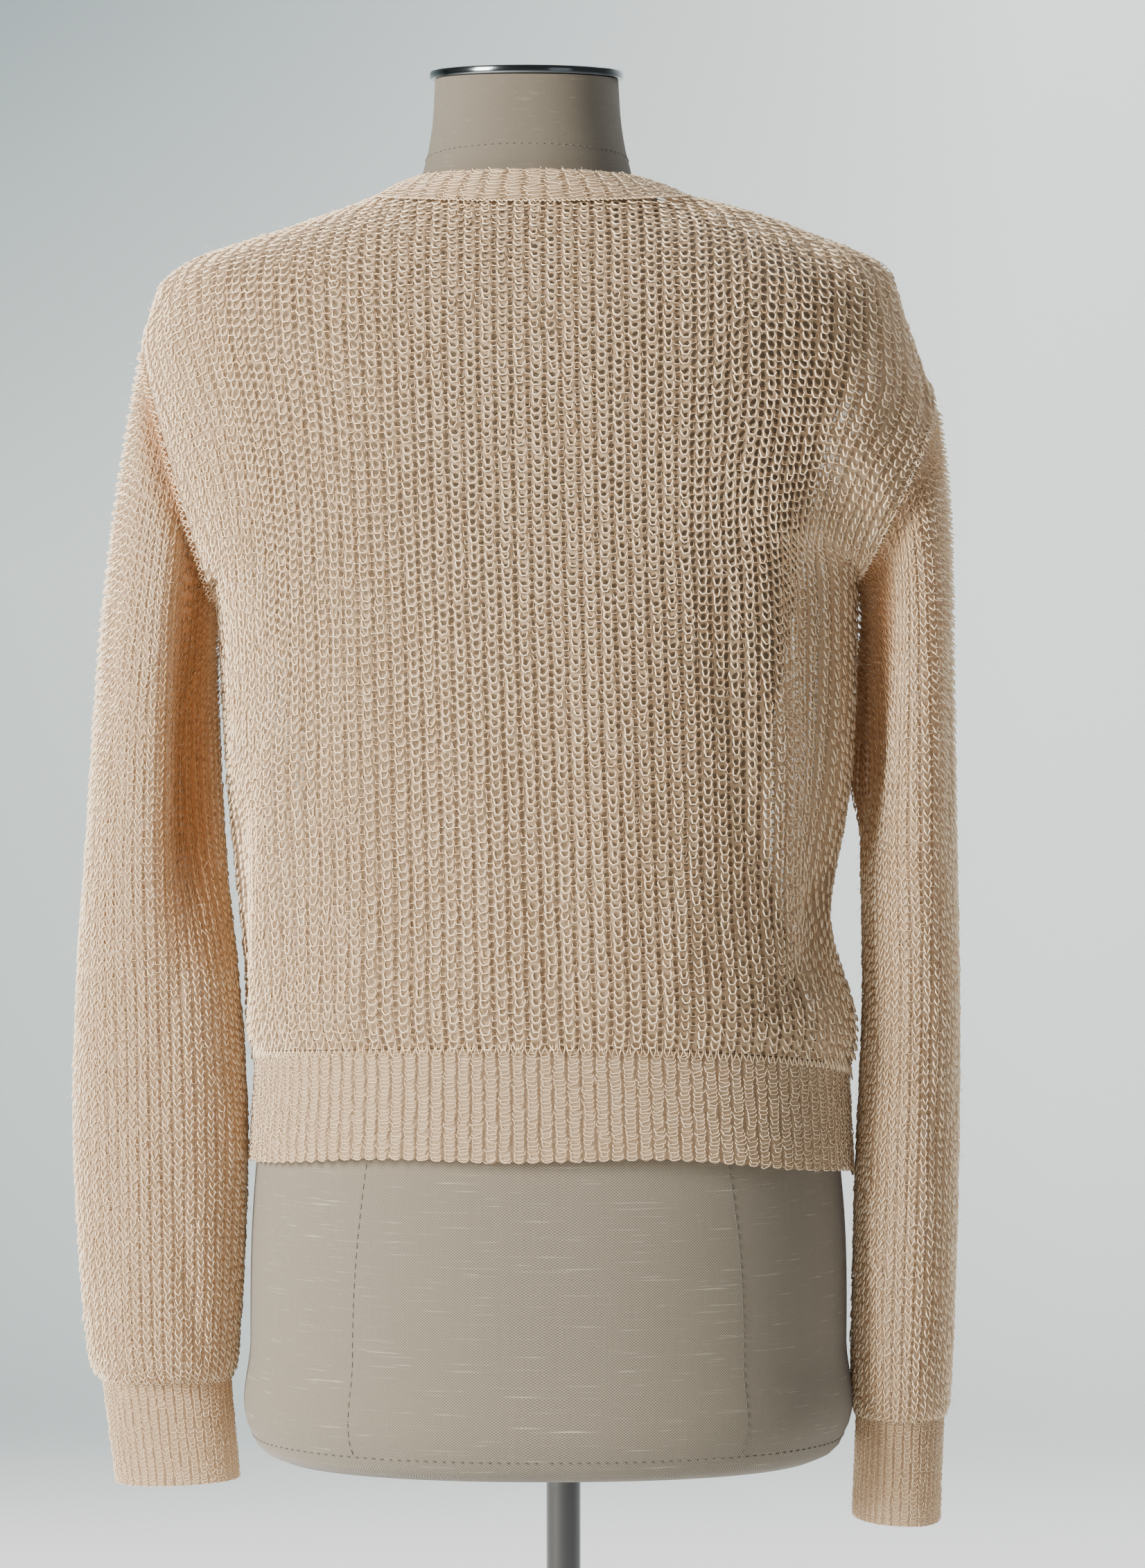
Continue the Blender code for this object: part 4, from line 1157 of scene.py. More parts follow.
def thread_points(paths, outwards, radius):
    """Points of many pointed threads at once, from their paths and the outward directions there."""
    along = unit(np.gradient(paths, axis=1))
    outwards = unit(outwards - np.sum(outwards * along, axis=2, keepdims=True) * along)
    beside = np.cross(along, outwards)
    rings = []
    for k in range(THREAD_SIDES):
        angle = math.pi / 2 + 2 * math.pi * k / THREAD_SIDES
        rings.append(paths + radius * (math.cos(angle) * beside + math.sin(angle) * outwards))
    rings = np.stack(rings, axis=2)[:, 1:-1]
    count = len(paths)
    return np.concatenate([paths[:, :1], rings.reshape(count, -1, 3), paths[:, -1:]], axis=1)


def thread_mesh(name, paths, outwards, radius, tones):
    """One joined mesh of many threads, each with its own tone."""
    points = thread_points(paths, outwards, radius)
    fans, quads = thread_faces(paths.shape[1])
    per = points.shape[1]
    shift = (np.arange(len(points)) * per)[:, None, None]
    fans, quads = (fans[None] + shift).reshape(-1, 3), (quads[None] + shift).reshape(-1, 4)
    faces = [*fans.tolist(), *quads.tolist()]
    mesh = bpy.data.meshes.new(name)
    mesh.from_pydata(points.reshape(-1, 3).tolist(), [], faces)
    tone_and_shade = mesh.attributes.new("tone_and_shade", "FLOAT", "POINT")
    tone_and_shade.data.foreach_set("value", np.repeat(tones, per).astype(np.float32))
    mesh.shade_smooth()
    return mesh


print("one cup stitch has", sum(len(faces) for faces in thread_faces(len(CUP))), "faces")

# %% [markdown]
# ## Laying the stitches
# Each stitch is laid in its own three directions, read from the cloth where it sits: beside the column,
# up the column and outwards. That keeps the loops upright and even where the cloth fans out or turns.
# Columns that are squeezed together at an armhole lose every second stitch, as they would overlap.

# %% Stitch layer
CROWDED = 0.55
NARROWEST, WIDEST = 0.42, 1.4
GROOVE_SHARE = 0.42
TONE_MIDDLE, TONE_SPREAD = 0.30, 0.22
# Painted shade: how far groove stitches are tinted towards the deeper colour, and from what recess shade a
# stitch is darkened towards brown.
GROOVE_SHADE_TONE = 0.65
RECESS_SHADE_FROM = 0.05
# How unevenly a hand lays stitches: places in ribs and rows, lean as a slope, size as a share
UNEVEN = {
    "sway": 0.05,
    "wave": 0.22,
    "slip": 0.2,
    "across": 0.035,
    "up": 0.09,
    "lean": 0.16,
    "size": 0.12,
    "lift": 0.22 * MM,
}


def lay(path, centres, beside, climb, outwards, width, height, lift):
    """Copies of a charted path, laid round their centres and along their own three directions."""
    across = path[None, :, 0] * width[:, None]
    up = path[None, :, 1] * height[:, None]
    off = path[None, :, 2] * MM + lift[:, None]
    return (
        centres[:, None]
        + across[..., None] * beside[:, None]
        + up[..., None] * climb[:, None]
        + off[..., None] * outwards[:, None]
    )


def stitch_paths(cloth, path, half, rng):
    """The paths of one set of stitches: on the ribs, or half a rib and half a row on, in the grooves."""
    down, over = cloth.points.shape[0] - 1, cloth.points.shape[1] - 1
    ribs, rows = np.meshgrid(np.arange(cloth.ribs), np.arange(cloth.rows), indexing="ij")
    ribs, rows = ribs.ravel(), rows.ravel()
    if half and not cloth.closed:
        ribs, rows = ribs[ribs < cloth.ribs - 1], rows[ribs < cloth.ribs - 1]
    count = len(ribs)
    drift = rng.uniform(0, 6.28, cloth.ribs)[ribs]
    sway = UNEVEN["sway"] * np.sin(rows * 0.55 + drift)
    slip = UNEVEN["wave"] * np.sin(ribs * 0.21 + rows * 0.03)
    slip = slip + rng.uniform(-UNEVEN["slip"], UNEVEN["slip"], cloth.ribs)[ribs]
    across = ribs + 0.5 + half + sway + rng.normal(0, UNEVEN["across"], count)
    up = rows + 0.5 + half + slip + rng.normal(0, UNEVEN["up"], count)
    columns, lines = across * 2, np.clip(up / cloth.rows * down, 0.2, down - 0.2)
    if cloth.closed:
        columns = columns % over
    centres = read(cloth.points, columns, lines)
    outwards = unit(read(cloth.normals, columns, lines))
    right, left = columns + 0.5, columns - 0.5
    if cloth.closed:
        right, left = right % over, left % over
    ahead, behind = read(cloth.points, right, lines), read(cloth.points, left, lines)
    reach = 4 * (ahead - centres + centres - behind) / 2
    high, low = np.minimum(lines + 0.5, down), np.maximum(lines - 0.5, 0)
    rise = read(cloth.points, columns, high) - read(cloth.points, columns, low)
    rise *= (down / cloth.rows / (high - low))[:, None]
    climb = unit(rise - np.sum(rise * outwards, axis=1, keepdims=True) * outwards)
    beside = np.cross(climb, outwards)
    width = np.abs(np.sum(reach * beside, axis=1))
    lean = rng.normal(0, UNEVEN["lean"], count)
    climb = unit(climb + lean[:, None] * beside)
    beside = np.cross(climb, outwards)
    usual = np.median(width)
    kept = (width > CROWDED * usual) | ((rows + ribs) % 2 == 0)
    width = np.clip(width, NARROWEST * usual, WIDEST * usual) * rng.normal(1.0, UNEVEN["size"], count)
    height = np.linalg.norm(rise, axis=1) * rng.normal(1.0, UNEVEN["size"], count)
    lift = rng.normal(0, UNEVEN["lift"], count)
    paths = lay(path, centres, beside, climb, outwards, width, height, lift)
    # Painted shade: stitches in the grooves are tinted towards the deeper colour, and stitches in a recess
    # get a number above one, which the yarn's finish darkens towards brown.
    painted_recess_shade = read(cloth.recess_shade[..., None], columns, lines)[..., 0]
    tones = np.clip(rng.normal(TONE_MIDDLE, TONE_SPREAD, count), 0, 1) + half * GROOVE_SHADE_TONE
    tones = np.where(painted_recess_shade > RECESS_SHADE_FROM, 1 + painted_recess_shade, np.minimum(tones, 1.0))
    every = np.repeat(outwards[:, None], len(path), axis=1)
    return paths[kept], every[kept], tones[kept]


def knit_threads(name, cloth, path, groove_path, thickness, seed):
    """All stitches of a piece of cloth, rib by rib and row by row, as one joined mesh."""
    rng = np.random.default_rng(seed)
    sets = [(path, 0.0, thickness / 2)]
    if groove_path is not None:
        sets.append((groove_path, 0.5, thickness * GROOVE_SHARE))
    meshes = []
    for shape, half, radius in sets:
        paths, outwards, tones = stitch_paths(cloth, shape, half, rng)
        meshes.append(thread_mesh(name, paths, outwards, radius, tones))
    mesh = meshes[0]
    if len(meshes) > 1:
        bm = bmesh.new()
        for part in meshes:
            bm.from_mesh(part)
        bm.to_mesh(mesh)
        bm.free()
        bpy.data.meshes.remove(meshes[1])
        mesh.shade_smooth()
    return add_piece(name, mesh, yarn)


print("stitches narrower than", CROWDED, "of the usual width are thinned out")

# %% [markdown]
# ## Loose hairs
# What makes mohair look soft is the hair that stands off it, which shows best at the outline. A hair
# system would give far too many faces for an exported model, so a few hundred bent needles stand in for
# it on each piece, shorter on the tighter bands.

# %% Hair maker
HAIR_RADIUS = 0.09 * MM
HAIR_LENGTHS = (4, 10)
HAIR_SLOPES = (0.25, 0.75)
BAND_SHARE = 0.45
TALL_PIECE = 50


def loose_hairs(name, cloth, count, seed):
    """Fine hairs that stand off a piece of cloth, each a bent needle."""
    rng = np.random.default_rng(seed)
    down, over = cloth.points.shape[0] - 1, cloth.points.shape[1] - 1
    columns = rng.uniform(0, over, count)
    lines = rng.uniform(0, down, count)
    root = read(cloth.points, columns, lines)
    out = unit(read(cloth.normals, columns, lines))
    wild = unit(rng.normal(0, 1, (count, 3)))
    flat = unit(wild - np.sum(wild * out, axis=1, keepdims=True) * out)
    length = rng.uniform(*HAIR_LENGTHS, count)[:, None] * MM
    length *= 1.0 if cloth.rows > TALL_PIECE else BAND_SHARE
    rise = rng.uniform(*HAIR_SLOPES, count)[:, None]
    middle = root + (flat * 0.45 + out * rise * 0.6) * length
    end = root + (flat * 0.85 + out * rise) * length + rng.normal(0, 0.8 * MM, (count, 3))
    paths = np.stack([root, middle, end], axis=1)
    every = np.repeat(out[:, None], 3, axis=1)
    mesh = thread_mesh(name, paths, every, HAIR_RADIUS, rng.uniform(0, 0.5, count))
    return add_piece(name, mesh, yarn)


print("hairs are", 2 * HAIR_RADIUS / MM, "mm thick")

# %% [markdown]
# ## Knitting the pullover
# Each packed wall is now replaced by its skin, and the threads and loose hairs ride with it. Each piece is
# listed with the flat size of the sheet that a knitter would make.

# %% Knit every piece
PIECES = (
    ("back_panel", back, CUP, GROOVE_CUP, YARN["panel"], 1500, (0.476, 0.492), 0.212, "draped"),
    ("front_panel", front, CUP, GROOVE_CUP, YARN["panel"], 1300, (0.476, 0.492), 0.212, "draped"),
    ("sleeve_left", sleeves[-1], SMALL_CUP, GROOVE_CUP, YARN["sleeve"], 1000, (0.30, 0.56), 0.145, "hung"),
    ("sleeve_right", sleeves[1], SMALL_CUP, GROOVE_CUP, YARN["sleeve"], 1000, (0.30, 0.56), 0.150, "hung"),
    ("cuff_left", cuffs[-1], LADDER_CUP, None, YARN["cuff"], 100, (0.19, 0.06), None, "hung"),
    ("cuff_right", cuffs[1], LADDER_CUP, None, YARN["cuff"], 100, (0.19, 0.06), None, "hung"),
    ("hem_back", hems[-1], LADDER_CUP, None, YARN["band"], 150, (0.45, 0.061), None, "hung"),
    ("hem_front", hems[1], LADDER_CUP, None, YARN["band"], 150, (0.45, 0.061), None, "hung"),
    ("neckband", neckband, LADDER_CUP, GROOVE_CUP, YARN["band"], 200, (0.48, 0.022), None, "stretched"),
)

knitted = {}
for k, (name, cloth, path, groove_path, thread, hairs, flat, area, held) in enumerate(PIECES):
    skin = knit_skin(name + "_veil", cloth)
    threads = knit_threads(name + "_yarn", cloth, path, groove_path, thread, 100 + k)
    fuzz = loose_hairs(name + "_hairs", cloth, hairs, 200 + k)
    for piece in (skin, threads, fuzz):
        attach(piece, "root")
    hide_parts(name)
    knitted[name] = (skin, [threads, fuzz], flat, area, held)
    print(name, "yarn faces", len(threads.data.polygons), "area", round(cloth.area(), 4), "m2, flat",
          round(cloth.width(), 3), "x", round(cloth.length(), 3))

# %% [markdown]
# ## Linked seams
# A knitter links the pieces loop by loop, so that the seams of a pullover like this hardly show. One
# short loop after another is laid over each seam: at the hem they stand upright and carry the ribs on
# from one piece to the next, and along the shoulders, sides, armholes and neck they cross the seam.

# %% Link the pieces
LINK = np.array([
    (-0.30, 0.62, -0.5),
    (-0.34, 0.00, 0.9),
    (0.00, -0.55, 1.3),
    (0.34, 0.00, 0.9),
    (0.30, 0.62, -0.5),
])
LINK_RADIUS = 0.36 * MM
SEAM_LINKS = {
    "shoulder": {"pitch": 2.6 * MM, "reach": 4.5 * MM},
    "side": {"pitch": 3.0 * MM, "reach": 4.5 * MM},
    "armhole": {"pitch": 3.0 * MM, "reach": 4.0 * MM},
    "cuff": {"pitch": 2.6 * MM, "reach": 3.4 * MM},
    "neck": {"pitch": 2.6 * MM, "reach": 3.0 * MM},
}
HEM_LINK = {"width": 4.2 * MM, "height": 6.5 * MM, "lift": 1.0 * MM}


def seam_links(line, outwards, pitch, reach):
    """Loops that cross a seam, evenly along its line."""
    walked = walk(line)
    places = np.arange(pitch / 2, walked[-1], pitch)
    centres = read_along(places, walked, line)
    outs = unit(read_along(places, walked, outwards))
    along = unit(read_along(places + pitch / 2, walked, line) - read_along(places - pitch / 2, walked, line))
    count = len(places)
    rng = np.random.default_rng(count)
    paths = lay(
        LINK, centres, along, np.cross(outs, along), outs, np.full(count, pitch * 1.5),
        reach * rng.normal(1.0, 0.15, count), rng.normal(0, 0.1 * MM, count),
    )
    return paths, np.repeat(outs[:, None], len(LINK), axis=1)


def hem_links(body, hem):
    """Upright loops over the hem seam, one to each rib of the hem and one to each groove."""
    top = hem.points[-1]
    middles = (top[1:] + top[:-1]) / 2
    outs = unit(hem.normals[-1][1:] + hem.normals[-1][:-1])
    nearest = [int(np.argmin(np.linalg.norm(body.points[0] - spot, axis=1))) for spot in middles]
    climb = unit(body.points[1][nearest] - hem.points[-2][:-1] / 2 - hem.points[-2][1:] / 2)
    beside = unit(np.cross(climb, outs))
    count = len(middles)
    rng = np.random.default_rng(count)
    paths = lay(
        LINK, middles, beside, climb, outs, np.full(count, HEM_LINK["width"]),
        rng.normal(HEM_LINK["height"], 0.8 * MM, count), rng.normal(HEM_LINK["lift"], 0.2 * MM, count),
    )
    return paths, np.repeat(outs[:, None], len(LINK), axis=1)


links = [hem_links(back, hems[-1]), hem_links(front, hems[1])]
level_out = np.array([1.0, 0.0, 1.0])
for side in (-1, 1):
    shoulder = (np.abs(back.points[-1][:, 1]) < MM) & (side * back.points[-1][:, 0] > 0)
    outs = back.normals[-1][shoulder] * level_out
    links.append(seam_links(back.points[-1][shoulder], outs, **SEAM_LINKS["shoulder"]))
    edge = 0 if side < 0 else -1
    low = (np.abs(back.points[:, edge, 1]) < MM) & (back.points[:, edge, 2] < ARMHOLE[side]["under"][1])
    outs = back.normals[low, edge] * level_out
    links.append(seam_links(back.points[low, edge], outs, **SEAM_LINKS["side"]))
    links.append(seam_links(sleeves[side].points[-1], sleeves[side].normals[-1], **SEAM_LINKS["armhole"]))
    links.append(seam_links(cuffs[side].points[-1], cuffs[side].normals[-1], **SEAM_LINKS["cuff"]))
links.append(seam_links(neckband.points[0], neckband.normals[0], **SEAM_LINKS["neck"]))
paths = np.concatenate([link[0] for link in links])
outwards = np.concatenate([link[1] for link in links])
tones = np.clip(np.random.default_rng(7).normal(0.4, 0.2, len(paths)), 0, 1)
link_mesh = thread_mesh("linked_seams_yarn", paths, outwards, LINK_RADIUS, tones)
linking = add_piece("linked_seams_yarn", link_mesh, yarn)
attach(linking, "root")
knitted["back_panel"][1].append(linking)
print("seams linked with", len(paths), "loops")

# %% [markdown]
# ## The dress form
# The form is a padded shell covered in linen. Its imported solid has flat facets, so a finer one takes
# its place: a grid is wrapped round the same cross-sections, its side edges are welded and its two
# ends are closed. The UV map is in metres round and up, so that the weave keeps its true scale.


# %% Form mesh
FORM_GRID = (96, 110)
FORM_GIRTH = 0.88
SMOOTH_BELOW = math.radians(55)


def form_ring(height, angles):
    """Points of the form's cross-section at a height."""
    cosine, sine = rounded(angles, FORM_ROUNDNESS)
    back_depth, front_depth = follow(FORM, "back", height), follow(FORM, "front", height)
    depth = np.where(sine < 0, back_depth, front_depth)
    x = follow(LEAN, "middle", height) + follow(FORM, "half_width", height) * cosine
    return np.stack([x, depth * sine, np.full(len(angles), height)], axis=1)


def make_form(name):
    """The whole form, closed at both ends, with more rings where its bottom edge is rounded."""
    around, up = FORM_GRID
    angles = np.linspace(0, 2 * math.pi, around + 1) + math.pi / 2
    share = np.linspace(0, 1, up + 1)
    heights = FORM_BOTTOM + (FORM_TOP - FORM_BOTTOM) * (share - 0.012 * np.sin(2 * math.pi * share))
    low = FORM["height"][:3]
    heights = np.sort(np.concatenate([heights[3:], low, (low[:-1] + low[1:]) / 2]))
    heights = heights[np.concatenate([[True], np.diff(heights) > 0.3 * MM])]
    rings = np.array([form_ring(z, angles) for z in heights])
    bm = bmesh.new()
    chart = bm.loops.layers.uv.new("weave")
    bmesh.ops.create_grid(bm, x_segments=around, y_segments=len(heights) - 1, size=1.0)
    spots = {}
    for vert in bm.verts:
        i = round((vert.co.y + 1) / 2 * (len(heights) - 1))
        j = round((vert.co.x + 1) / 2 * around)
        spots[vert] = (i, j)
    for face in bm.faces:
        for loop in face.loops:
            i, j = spots[loop.vert]
            loop[chart].uv = (j / around * FORM_GIRTH, heights[i])
    for vert, (i, j) in spots.items():
        vert.co = rings[i, j]
    bmesh.ops.remove_doubles(bm, verts=bm.verts[:], dist=WELD)
    edges = [e for e in bm.edges if e.is_boundary]
    caps = bmesh.ops.holes_fill(bm, edges=edges, sides=0)["faces"]
    for face in caps:
        for loop in face.loops:
            loop[chart].uv = (loop.vert.co.x, loop.vert.co.y)
    bmesh.ops.recalc_face_normals(bm, faces=bm.faces[:])
    mesh = bpy.data.meshes.new(name)
    bm.to_mesh(mesh)
    bm.free()
    mesh.shade_smooth()
    mesh.set_sharp_from_angle(angle=SMOOTH_BELOW)
    return mesh


print("the weave is charted on", FORM_GIRTH, "m of girth")

# %% [markdown]
# ## Linen
# The cover is a plain-weave linen, grey-beige, with paler slubs: thick places in the flax thread that
# run as short level streaks. Real linen threads here are about 0.75 mm apart, so a cell of two threads
# over and two under is 1.5 mm, which is what the eye reads as a grid of dots.
# Towards the neck the linen is painted a little darker than on the body: painted shade.

# %% Linen finish
WEAVE_CELL = 1.5 * MM
NECK_SHADE_FROM = 0.93


def linen_finish(name):
    """Plain-weave linen: a grid of raised threads, with level slubs, and painted shade that darkens the neck.
    """
    material, tree = new_finish(name)
    uv = node(tree, "UVMap", {"uv_map": "weave"}).outputs[0]
    warped = node(tree, "TexNoise", Vector=uv, Scale=60.0, Detail=2.0, Roughness=0.5)
    nudge = node(
        tree, "VectorMath", {"operation": "MULTIPLY_ADD"}, _0=warped.outputs["Color"],
        _1=(0.5 * MM, 0.5 * MM, 0.0), _2=uv,
    ).outputs[0]
    cells = node(tree, "VectorMath", {"operation": "SCALE"}, _0=nudge, Scale=math.tau / WEAVE_CELL).outputs[0]
    grid = node(tree, "SeparateXYZ", Vector=cells)
    warp = node(tree, "Math", {"operation": "SINE"}, _0=grid.outputs[0]).outputs[0]
    weft = node(tree, "Math", {"operation": "SINE"}, _0=grid.outputs[1]).outputs[0]
    woven = node(tree, "Math", {"operation": "MULTIPLY"}, _0=warp, _1=weft).outputs[0]
    raised = node(tree, "Math", {"operation": "MULTIPLY_ADD"}, _0=woven, _1=0.5, _2=0.5).outputs[0]
    streak_place = node(tree, "Mapping", Vector=uv, Scale=(26.0, 900.0, 1.0)).outputs[0]
    streaks = node(
        tree, "TexNoise", Vector=streak_place, Scale=1.0, Detail=3.0, Roughness=0.65
    ).outputs["Fac"]
    upright_place = node(tree, "Mapping", Vector=uv, Scale=(900.0, 14.0, 1.0)).outputs[0]
    uprights = node(
        tree, "TexNoise", Vector=upright_place, Scale=1.0, Detail=2.0, Roughness=0.6
    ).outputs["Fac"]
    slub = node(
        tree, "MapRange", {"interpolation_type": "SMOOTHSTEP"}, Value=streaks, From_Min=0.60, From_Max=0.74,
        To_Min=0.0, To_Max=0.75,
    ).outputs[0]
    ground = node(tree, "Mix", {"data_type": "RGBA"}, _0=raised, _6="#352F28", _7="#887F6F").outputs[2]
    threads = node(tree, "Mix", {"data_type": "RGBA"}, _0=uprights, _6="#5F574B", _7="#827A6C").outputs[2]
    base = node(tree, "Mix", {"data_type": "RGBA"}, _0=0.18, _6=ground, _7=threads).outputs[2]
    colour = node(tree, "Mix", {"data_type": "RGBA"}, _0=slub, _6=base, _7="#A89F8F").outputs[2]
    # Painted shade: above this height the linen is darkened towards the neck.
    height = node(tree, "SeparateXYZ", Vector=uv).outputs[1]
    painted_neck_shade = node(
        tree, "MapRange", Value=height, From_Min=NECK_SHADE_FROM, From_Max=NECK_SHADE_FROM + 0.02, To_Max=0.62
    ).outputs[0]
    colour = node(tree, "Mix", {"data_type": "RGBA"}, _0=painted_neck_shade, _6=colour, _7="#544E43").outputs[2]
    relief = node(tree, "Math", {"operation": "MULTIPLY_ADD"}, _0=slub, _1=0.6, _2=raised).outputs[0]
    bump = node(tree, "Bump", Strength=0.6, Distance=0.25 * MM, Height=relief).outputs[0]
    cloth = node(
        tree, "BsdfPrincipled", Base_Color=colour, Roughness=0.88, Normal=bump, Sheen_Weight=0.2,
        Sheen_Roughness=0.5, Specular_IOR_Level=0.3,
    )
    node(tree, "OutputMaterial", Surface=cloth.outputs[0])
    return material


linen = linen_finish("plain_weave_linen")
form = add_piece("form_cover", make_form("form_cover"), linen)
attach(form, "root")
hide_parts("form_torso")
print("form faces", len(form.data.polygons))

# %% [markdown]
# ## Seams of the cover
# The cover is sewn from shaped panels. Two long seams run down behind, two in front, one goes round
# the neck and a row of stitching holds the bottom edge. Each is a line of short threads, laid a
# little into the linen and slightly darker than it.


# %% Cover seams
def form_spots(turns, heights):
    """Points of the form's surface and their outward directions, at turns from mid back and heights."""
    points, outs = [], []
    for turn, height in zip(turns, heights):
        angles = np.array([turn - 0.01, turn, turn + 0.01]) * math.tau - math.pi / 2
        ring = form_ring(height, angles)
        above = form_ring(height + MM, angles)[1]
        out = unit(np.cross(ring[2] - ring[0], above - ring[1]))
        points.append(ring[1])
        outs.append(out)
    return np.array(points), np.array(outs)


def sewn_line(name, turns, heights, material, stitch, gap, thickness):
    """Short threads along a line on the form."""
    points, outs = form_spots(turns, heights)
    walked = walk(points)
    starts = np.arange(0, walked[-1] - stitch, stitch + gap)
    places = starts[:, None] + np.linspace(0, stitch, 4)[None, :]
    paths = read_along(places, walked, points)
    out = read_along(places, walked, outs)
    arch = np.array([-0.25, 0.35, 0.35, -0.25]) * thickness
    paths = paths + unit(out) * arch[None, :, None]
    mesh = thread_mesh(name, paths, out, thickness / 2, np.full(len(paths), 0.5))
    piece = add_piece(name, mesh, material)
    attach(piece, "root")
    return piece


def thread_finish(name, colour):
    """Twisted sewing thread, a little lighter where the twist catches the light."""
    material, tree = new_finish(name)
    place = node(tree, "TexCoord").outputs["Object"]
    twist = node(tree, "TexNoise", Vector=place, Scale=900.0, Detail=1.0).outputs["Fac"]
    shade = node(tree, "Mix", {"data_type": "RGBA"}, _0=twist, _6=colour, _7="#5A5247").outputs[2]
    body = node(tree, "BsdfPrincipled", Base_Color=shade, Roughness=0.7, Sheen_Weight=0.2)
    node(tree, "OutputMaterial", Surface=body.outputs[0])
    return material


seam_thread = thread_finish("twisted_linen_thread", "#2C2721")
NECK_LINE, NECK_DIP = 0.9596, 0.0065
EDGE_LINE = 0.2475
LONG_SEAM_FROM, LONG_SEAM_REACH = 0.248, 0.62
SEAM_TURNS = (-0.103, 0.103, 0.382, 0.618)
STITCHING = {
    "neck": {"stitch": 2.6 * MM, "gap": 1.4 * MM, "thickness": 0.7 * MM},
    "edge": {"stitch": 3.4 * MM, "gap": 1.6 * MM, "thickness": 0.7 * MM},
    "seam": {"stitch": 5.0 * MM, "gap": 0.4 * MM, "thickness": 0.6 * MM},
}
full = np.linspace(0, 1, 241)
neck_line = NECK_LINE - NECK_DIP * (1 - np.cos(full * math.tau))
edge_line = np.full(len(full), EDGE_LINE)
sewn_line("neck_stitching", full, neck_line, seam_thread, **STITCHING["neck"])
sewn_line("edge_stitching", full, edge_line, seam_thread, **STITCHING["edge"])
climb = np.linspace(0, 1, 121)
for k, turn in enumerate(SEAM_TURNS):
    heights = LONG_SEAM_FROM + climb * LONG_SEAM_REACH
    turns = turn * (1 - 0.25 * ease(0.3, 0.62, heights) + 0.1 * ease(0.7, 0.86, heights))
    if abs(turn) > 0.25:
        turns = 0.5 + (turn - 0.5) * (1 - 0.2 * ease(0.3, 0.62, heights))
    sewn_line(f"long_seam_{k + 1}", turns, heights, seam_thread, **STITCHING["seam"])
print("seams sewn:", 2 + len(SEAM_TURNS))

# %% [markdown]
# ## Metal and lacquer
# The neck plate is turned steel, polished so that it mirrors the studio as dark and bright bands.
# The pole and the base are steel too, under a smooth black lacquer: a dark colour with a clear coat.

# %% Metal and lacquer
metal, tree = new_finish("polished_steel")
place = node(tree, "TexCoord").outputs["Object"]
hairline = node(tree, "Mapping", Vector=place, Scale=(40.0, 40.0, 2500.0)).outputs[0]
marks = node(tree, "TexNoise", Vector=hairline, Scale=1.0, Detail=2.0).outputs["Fac"]
rough = node(tree, "MapRange", Value=marks, To_Min=0.10, To_Max=0.22).outputs[0]
shader = node(tree, "BsdfPrincipled", Base_Color="#5C6063", Metallic=1.0, Roughness=rough)
node(tree, "OutputMaterial", Surface=shader.outputs[0])

lacquer, tree = new_finish("black_lacquer")
place = node(tree, "TexCoord").outputs["Object"]
peel = node(tree, "TexNoise", Vector=place, Scale=350.0, Detail=2.0).outputs["Fac"]
bump = node(tree, "Bump", Strength=0.08, Distance=0.1 * MM, Height=peel).outputs[0]
dust = node(tree, "TexNoise", Vector=place, Scale=25.0, Detail=4.0).outputs["Fac"]
rough = node(tree, "MapRange", Value=dust, To_Min=0.22, To_Max=0.34).outputs[0]
shader = node(
    tree, "BsdfPrincipled", Base_Color="#0C0F13", Roughness=rough, Normal=bump, Coat_Weight=0.6,
    Coat_Roughness=0.12,
)
node(tree, "OutputMaterial", Surface=shader.outputs[0])
print("finishes so far:", [material.name for material in bpy.data.materials])

# %% [markdown]
# ## Neck plate, pole and base
# All three are turned on a lathe, so each is a profile that is spun round an upright axis. The packed
# nodes give their sizes. The profiles add what a lathe leaves: small rounded rims, and on the base a low
# boss with a soft shoulder round the pole.

# %% Neck plate, pole and base
BASE_HEIGHT = 12 * MM
BOSS_RADIUS, BOSS_HEIGHT, BOSS_FILLET = 22 * MM, 22 * MM, 1.5 * MM
PLATE_RIM = (1.2 * MM, 0.35 * MM)
BASE_RIM = (2.5 * MM, 0.8 * MM)
DIMPLE_RADIUS, DIMPLE_DEPTH = 6 * MM, 0.1 * MM
CREASED_FROM = math.radians(35)
AXIS_WELD = 0.01 * MM


def rounded_rim(radius, low, high, rim, cut):
    """The outer part of a disc's profile, from its underside to its top, with both rims rounded."""
    return [
        (radius - rim, low),
        (radius - cut, low + cut),
        (radius, low + rim),
        (radius, high - rim),
        (radius - cut, high - cut),
        (radius - rim, high),
    ]


def turned(name, profile, centre, material, slot):
    """A turned piece: a profile of (radius, height) spun round an upright axis."""
    bm = bmesh.new()
    verts = [bm.verts.new((centre + radius, 0.0, height)) for radius, height in profile]
    edges = [bm.edges.new(pair) for pair in zip(verts, verts[1:])]
    bmesh.ops.spin(
        bm, geom=verts + edges, cent=(centre, 0, 0), axis=(0, 0, 1), angle=math.tau, steps=72, use_merge=True
    )
    bmesh.ops.remove_doubles(bm, verts=bm.verts[:], dist=AXIS_WELD)
    bmesh.ops.recalc_face_normals(bm, faces=bm.faces[:])
    mesh = bpy.data.meshes.new(name)
    bm.to_mesh(mesh)
    bm.free()
    mesh.shade_smooth()
    mesh.set_sharp_from_angle(angle=CREASED_FROM)
    return add_piece(name, mesh, material)


